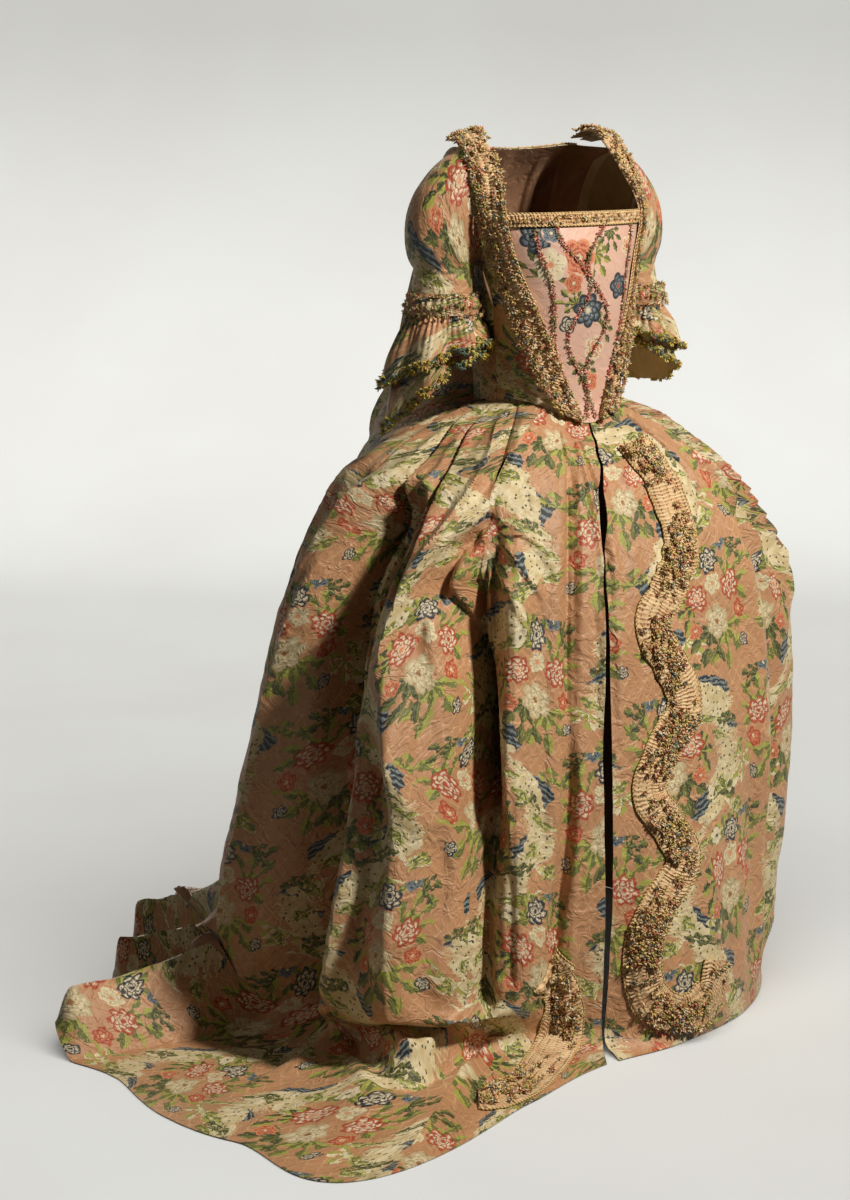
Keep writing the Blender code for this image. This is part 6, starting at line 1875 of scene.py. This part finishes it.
def serpentine(word, table, length):
    """A ruched strip along a serpentine line: five rows of gathers under fly fringe, corded at both
    edges."""
    line = trim_line(table, int(length / TRIM_STEP))
    points = skirt_place(*band(line, TRIM_REACH, TRIM_COLUMNS))
    n = grid_normals(points, away_or_up(points))
    uv = cloth_map(points)
    share = np.linspace(0.0, 1.0, TRIM_COLUMNS)
    rows_of_stitch = 0.0020 * np.abs(np.sin(share * np.pi * 5)) ** 0.8
    pucker = 0.0012 * gathers(uv, 0.0058, 0.010, 0.02, 14)
    relief = rows_of_stitch + pucker * rows_of_stitch / 0.002 + 0.0028 * np.sin(np.pi * share) ** 0.6
    cloth(f"trim_{word}", points + n * BAND_LIFT, away_or_up(points), STRIP, relief=relief, uv=uv, n=n,
          thickness=0.0012)
    for column, label in ((0, "inner"), (-1, "outer")):
        cord(f"trim_{word}_{label}_cord", points[:, column] + n[:, column] * 0.0032, 0.0016)
    count = int(length * FLIES_A_METRE)
    at, over = scatter((0.004, 0.996), (0.10, 0.90), count, 61)
    thick = 0.5 + 0.5 * np.sin(at * length / 0.34 * 2 * np.pi + 0.6)
    keep = np.random.default_rng(62).uniform(0, 1, count) < np.clip(thick * 1.5 - 0.1, 0.12, 1.0)
    i = (at[keep] * (len(points) - 1)).astype(int)
    j = (over[keep] * (TRIM_COLUMNS - 1)).astype(int)
    tufts(f"trim_{word}_flies", points[i, j] + n[i, j] * 0.0088, n[i, j], -UP, 0.0085, TRIM_FLOSS, 63,
          spread=1.1, blades=6)


serpentine("right", TRIM_RIGHT, 0.46)
serpentine("left", TRIM_LEFT, 2.35)


# ---------------------------------------------------------------- floor, light and camera
CAMERA_TURN, CAMERA_AWAY, CAMERA_HEIGHT = -36.315, 4.2, 1.45
CAMERA_YAW, CAMERA_PITCH = 2.525, 11.064
CAMERA_LENS, CAMERA_SENSOR = 80.98, 36.0  # millimetres
# The backdrop's section: where its floor starts and its bend begins, the bend's radius, the wall's top.
FLOOR_START, BEND_START, BEND_RADIUS, WALL_TOP = -8.0, 3.2, 1.6, 7.0
FLOOR_HALF_WIDTH = 9.0
LIGHT_TARGET = (0.0, 0.0, -0.6)
BACKDROP_LIGHT, BACKDROP_LIGHT_ANGLE = 4.0, 1.6
ROOM_LIGHT = 0.024
# Lights of the gown: direction from its front towards its left, height, distance, size and power.
LAMPS = table(
    "name turn height away size power colour",
    ("key", 18.0, 4.2, 3.7, 0.45, 300.0, (1.0, 0.935, 0.84)),
    ("fill", -100.0, 2.2, 4.0, 1.2, 11.0, (1.0, 0.90, 0.76)),
    ("back", CAMERA_TURN + 180.0, 1.5, 4.2, 1.2, 130.0, (1.0, 0.95, 0.88)),
)


def backdrop():
    """Pale floor that turns up into a wall behind, as one sheet that is seen from its front only."""
    bend = np.linspace(0.0, np.pi / 2, 17)
    wall = BEND_START + BEND_RADIUS
    run = np.concatenate([[FLOOR_START], BEND_START + BEND_RADIUS * np.sin(bend), [wall]])
    rise = np.concatenate([[0.0], BEND_RADIUS - BEND_RADIUS * np.cos(bend), [WALL_TOP]])
    run, across = np.meshgrid(run, np.linspace(-FLOOR_HALF_WIDTH, FLOOR_HALF_WIDTH, 3), indexing="ij")
    forward, side = polar(1.0, CAMERA_TURN + 180.0, 0.0), polar(1.0, CAMERA_TURN + 90.0, 0.0)
    points = run[..., None] * forward + across[..., None] * side
    points = points + (rise[:, None, None] - SHOULDER_HEIGHT - 0.0008) * UP
    r, c = np.meshgrid(np.arange(len(run) - 1), np.arange(2), indexing="ij")
    faces = np.stack([r * 3 + c, r * 3 + c + 1, r * 3 + c + 4, r * 3 + c + 3], -1).reshape(-1, 4)
    material, s = new_material("painted backdrop", 0.85)
    where = s.node("ShaderNodeTexCoord").outputs["Object"]
    colour = s.patchy(where, 1.3, tone(222, 222, 217), tone(217, 216, 211))
    surfaced(s, colour, s.noise(where, 240.0, 2.0), 0.0004, strength=0.3)
    seen = s.minus(1.0, s.node("ShaderNodeNewGeometry").outputs["Backfacing"])
    s.feed(s.tree.nodes["Principled BSDF"].inputs["Alpha"], seen)
    sheet = added("backdrop", mesh_of("backdrop", points.reshape(-1, 3), faces, [material], sharp=0))
    sheet.visible_diffuse = False


def aimed(place, target):
    """A matrix at a place, looking along -Z at the target."""
    forward = (Vector(target) - Vector(place)).normalized()
    side = forward.cross(Vector(UP)).normalized()
    turned = Matrix((side, side.cross(forward), -forward)).transposed().to_4x4()
    return Matrix.Translation(Vector(place)) @ turned


def camera():
    """The camera looks at the gown's axis, turned a little aside and down."""
    back = Vector(polar(1.0, CAMERA_TURN, 0.0))
    place = back * CAMERA_AWAY + Vector(UP) * (CAMERA_HEIGHT - SHOULDER_HEIGHT)
    level = Matrix.Rotation(math.radians(CAMERA_YAW), 3, "Z") @ -back
    pitch = math.radians(CAMERA_PITCH)
    data = bpy.data.cameras.new("camera")
    data.sensor_width, data.sensor_fit, data.lens = CAMERA_SENSOR, "AUTO", CAMERA_LENS
    eye = added("camera", data)
    eye.matrix_world = aimed(place, place + level * math.cos(pitch) - Vector(UP) * math.sin(pitch))
    bpy.context.scene.camera = eye


def lamp(light):
    """A square soft light."""
    data = bpy.data.lights.new(light.name, "AREA")
    data.shape, data.size, data.energy, data.color = "SQUARE", light.size, light.power, light.colour
    place = polar(light.away, light.turn, light.height - SHOULDER_HEIGHT)
    added(light.name, data).matrix_world = aimed(place, LIGHT_TARGET)


def receivers(name):
    """A collection that holds the backdrop, for light linking."""
    collection = bpy.data.collections.new(name)
    collection.objects.link(bpy.data.objects["backdrop"])
    return collection


def backdrop_light():
    """An even light for the backdrop alone, with a very soft shadow."""
    data = bpy.data.lights.new("backdrop light", "SUN")
    data.energy, data.angle = BACKDROP_LIGHT, BACKDROP_LIGHT_ANGLE
    light = added("backdrop light", data)
    light.matrix_world = aimed(polar(2.0, CAMERA_TURN + 25.0, 2.2), (0.0, 0.0, 0.0))
    light.light_linking.receiver_collection = receivers("lit backdrop")
    unlit = receivers("unlit backdrop")
    unlit.collection_objects[0].light_linking.link_state = "EXCLUDE"
    for each in LAMPS:
        bpy.data.objects[each.name].light_linking.receiver_collection = unlit


def room_light():
    """A faint light from all around."""
    world = bpy.context.scene.world or bpy.data.worlds.new("World")
    bpy.context.scene.world = world
    world.use_nodes = True
    sockets = world.node_tree.nodes["Background"].inputs
    sockets["Color"].default_value = (1.0, 0.95, 0.88, 1.0)
    sockets["Strength"].default_value = ROOM_LIGHT


backdrop()
camera()
for each in LAMPS:
    lamp(each)
backdrop_light()
room_light()
bpy.context.scene.view_settings.view_transform = "Standard"
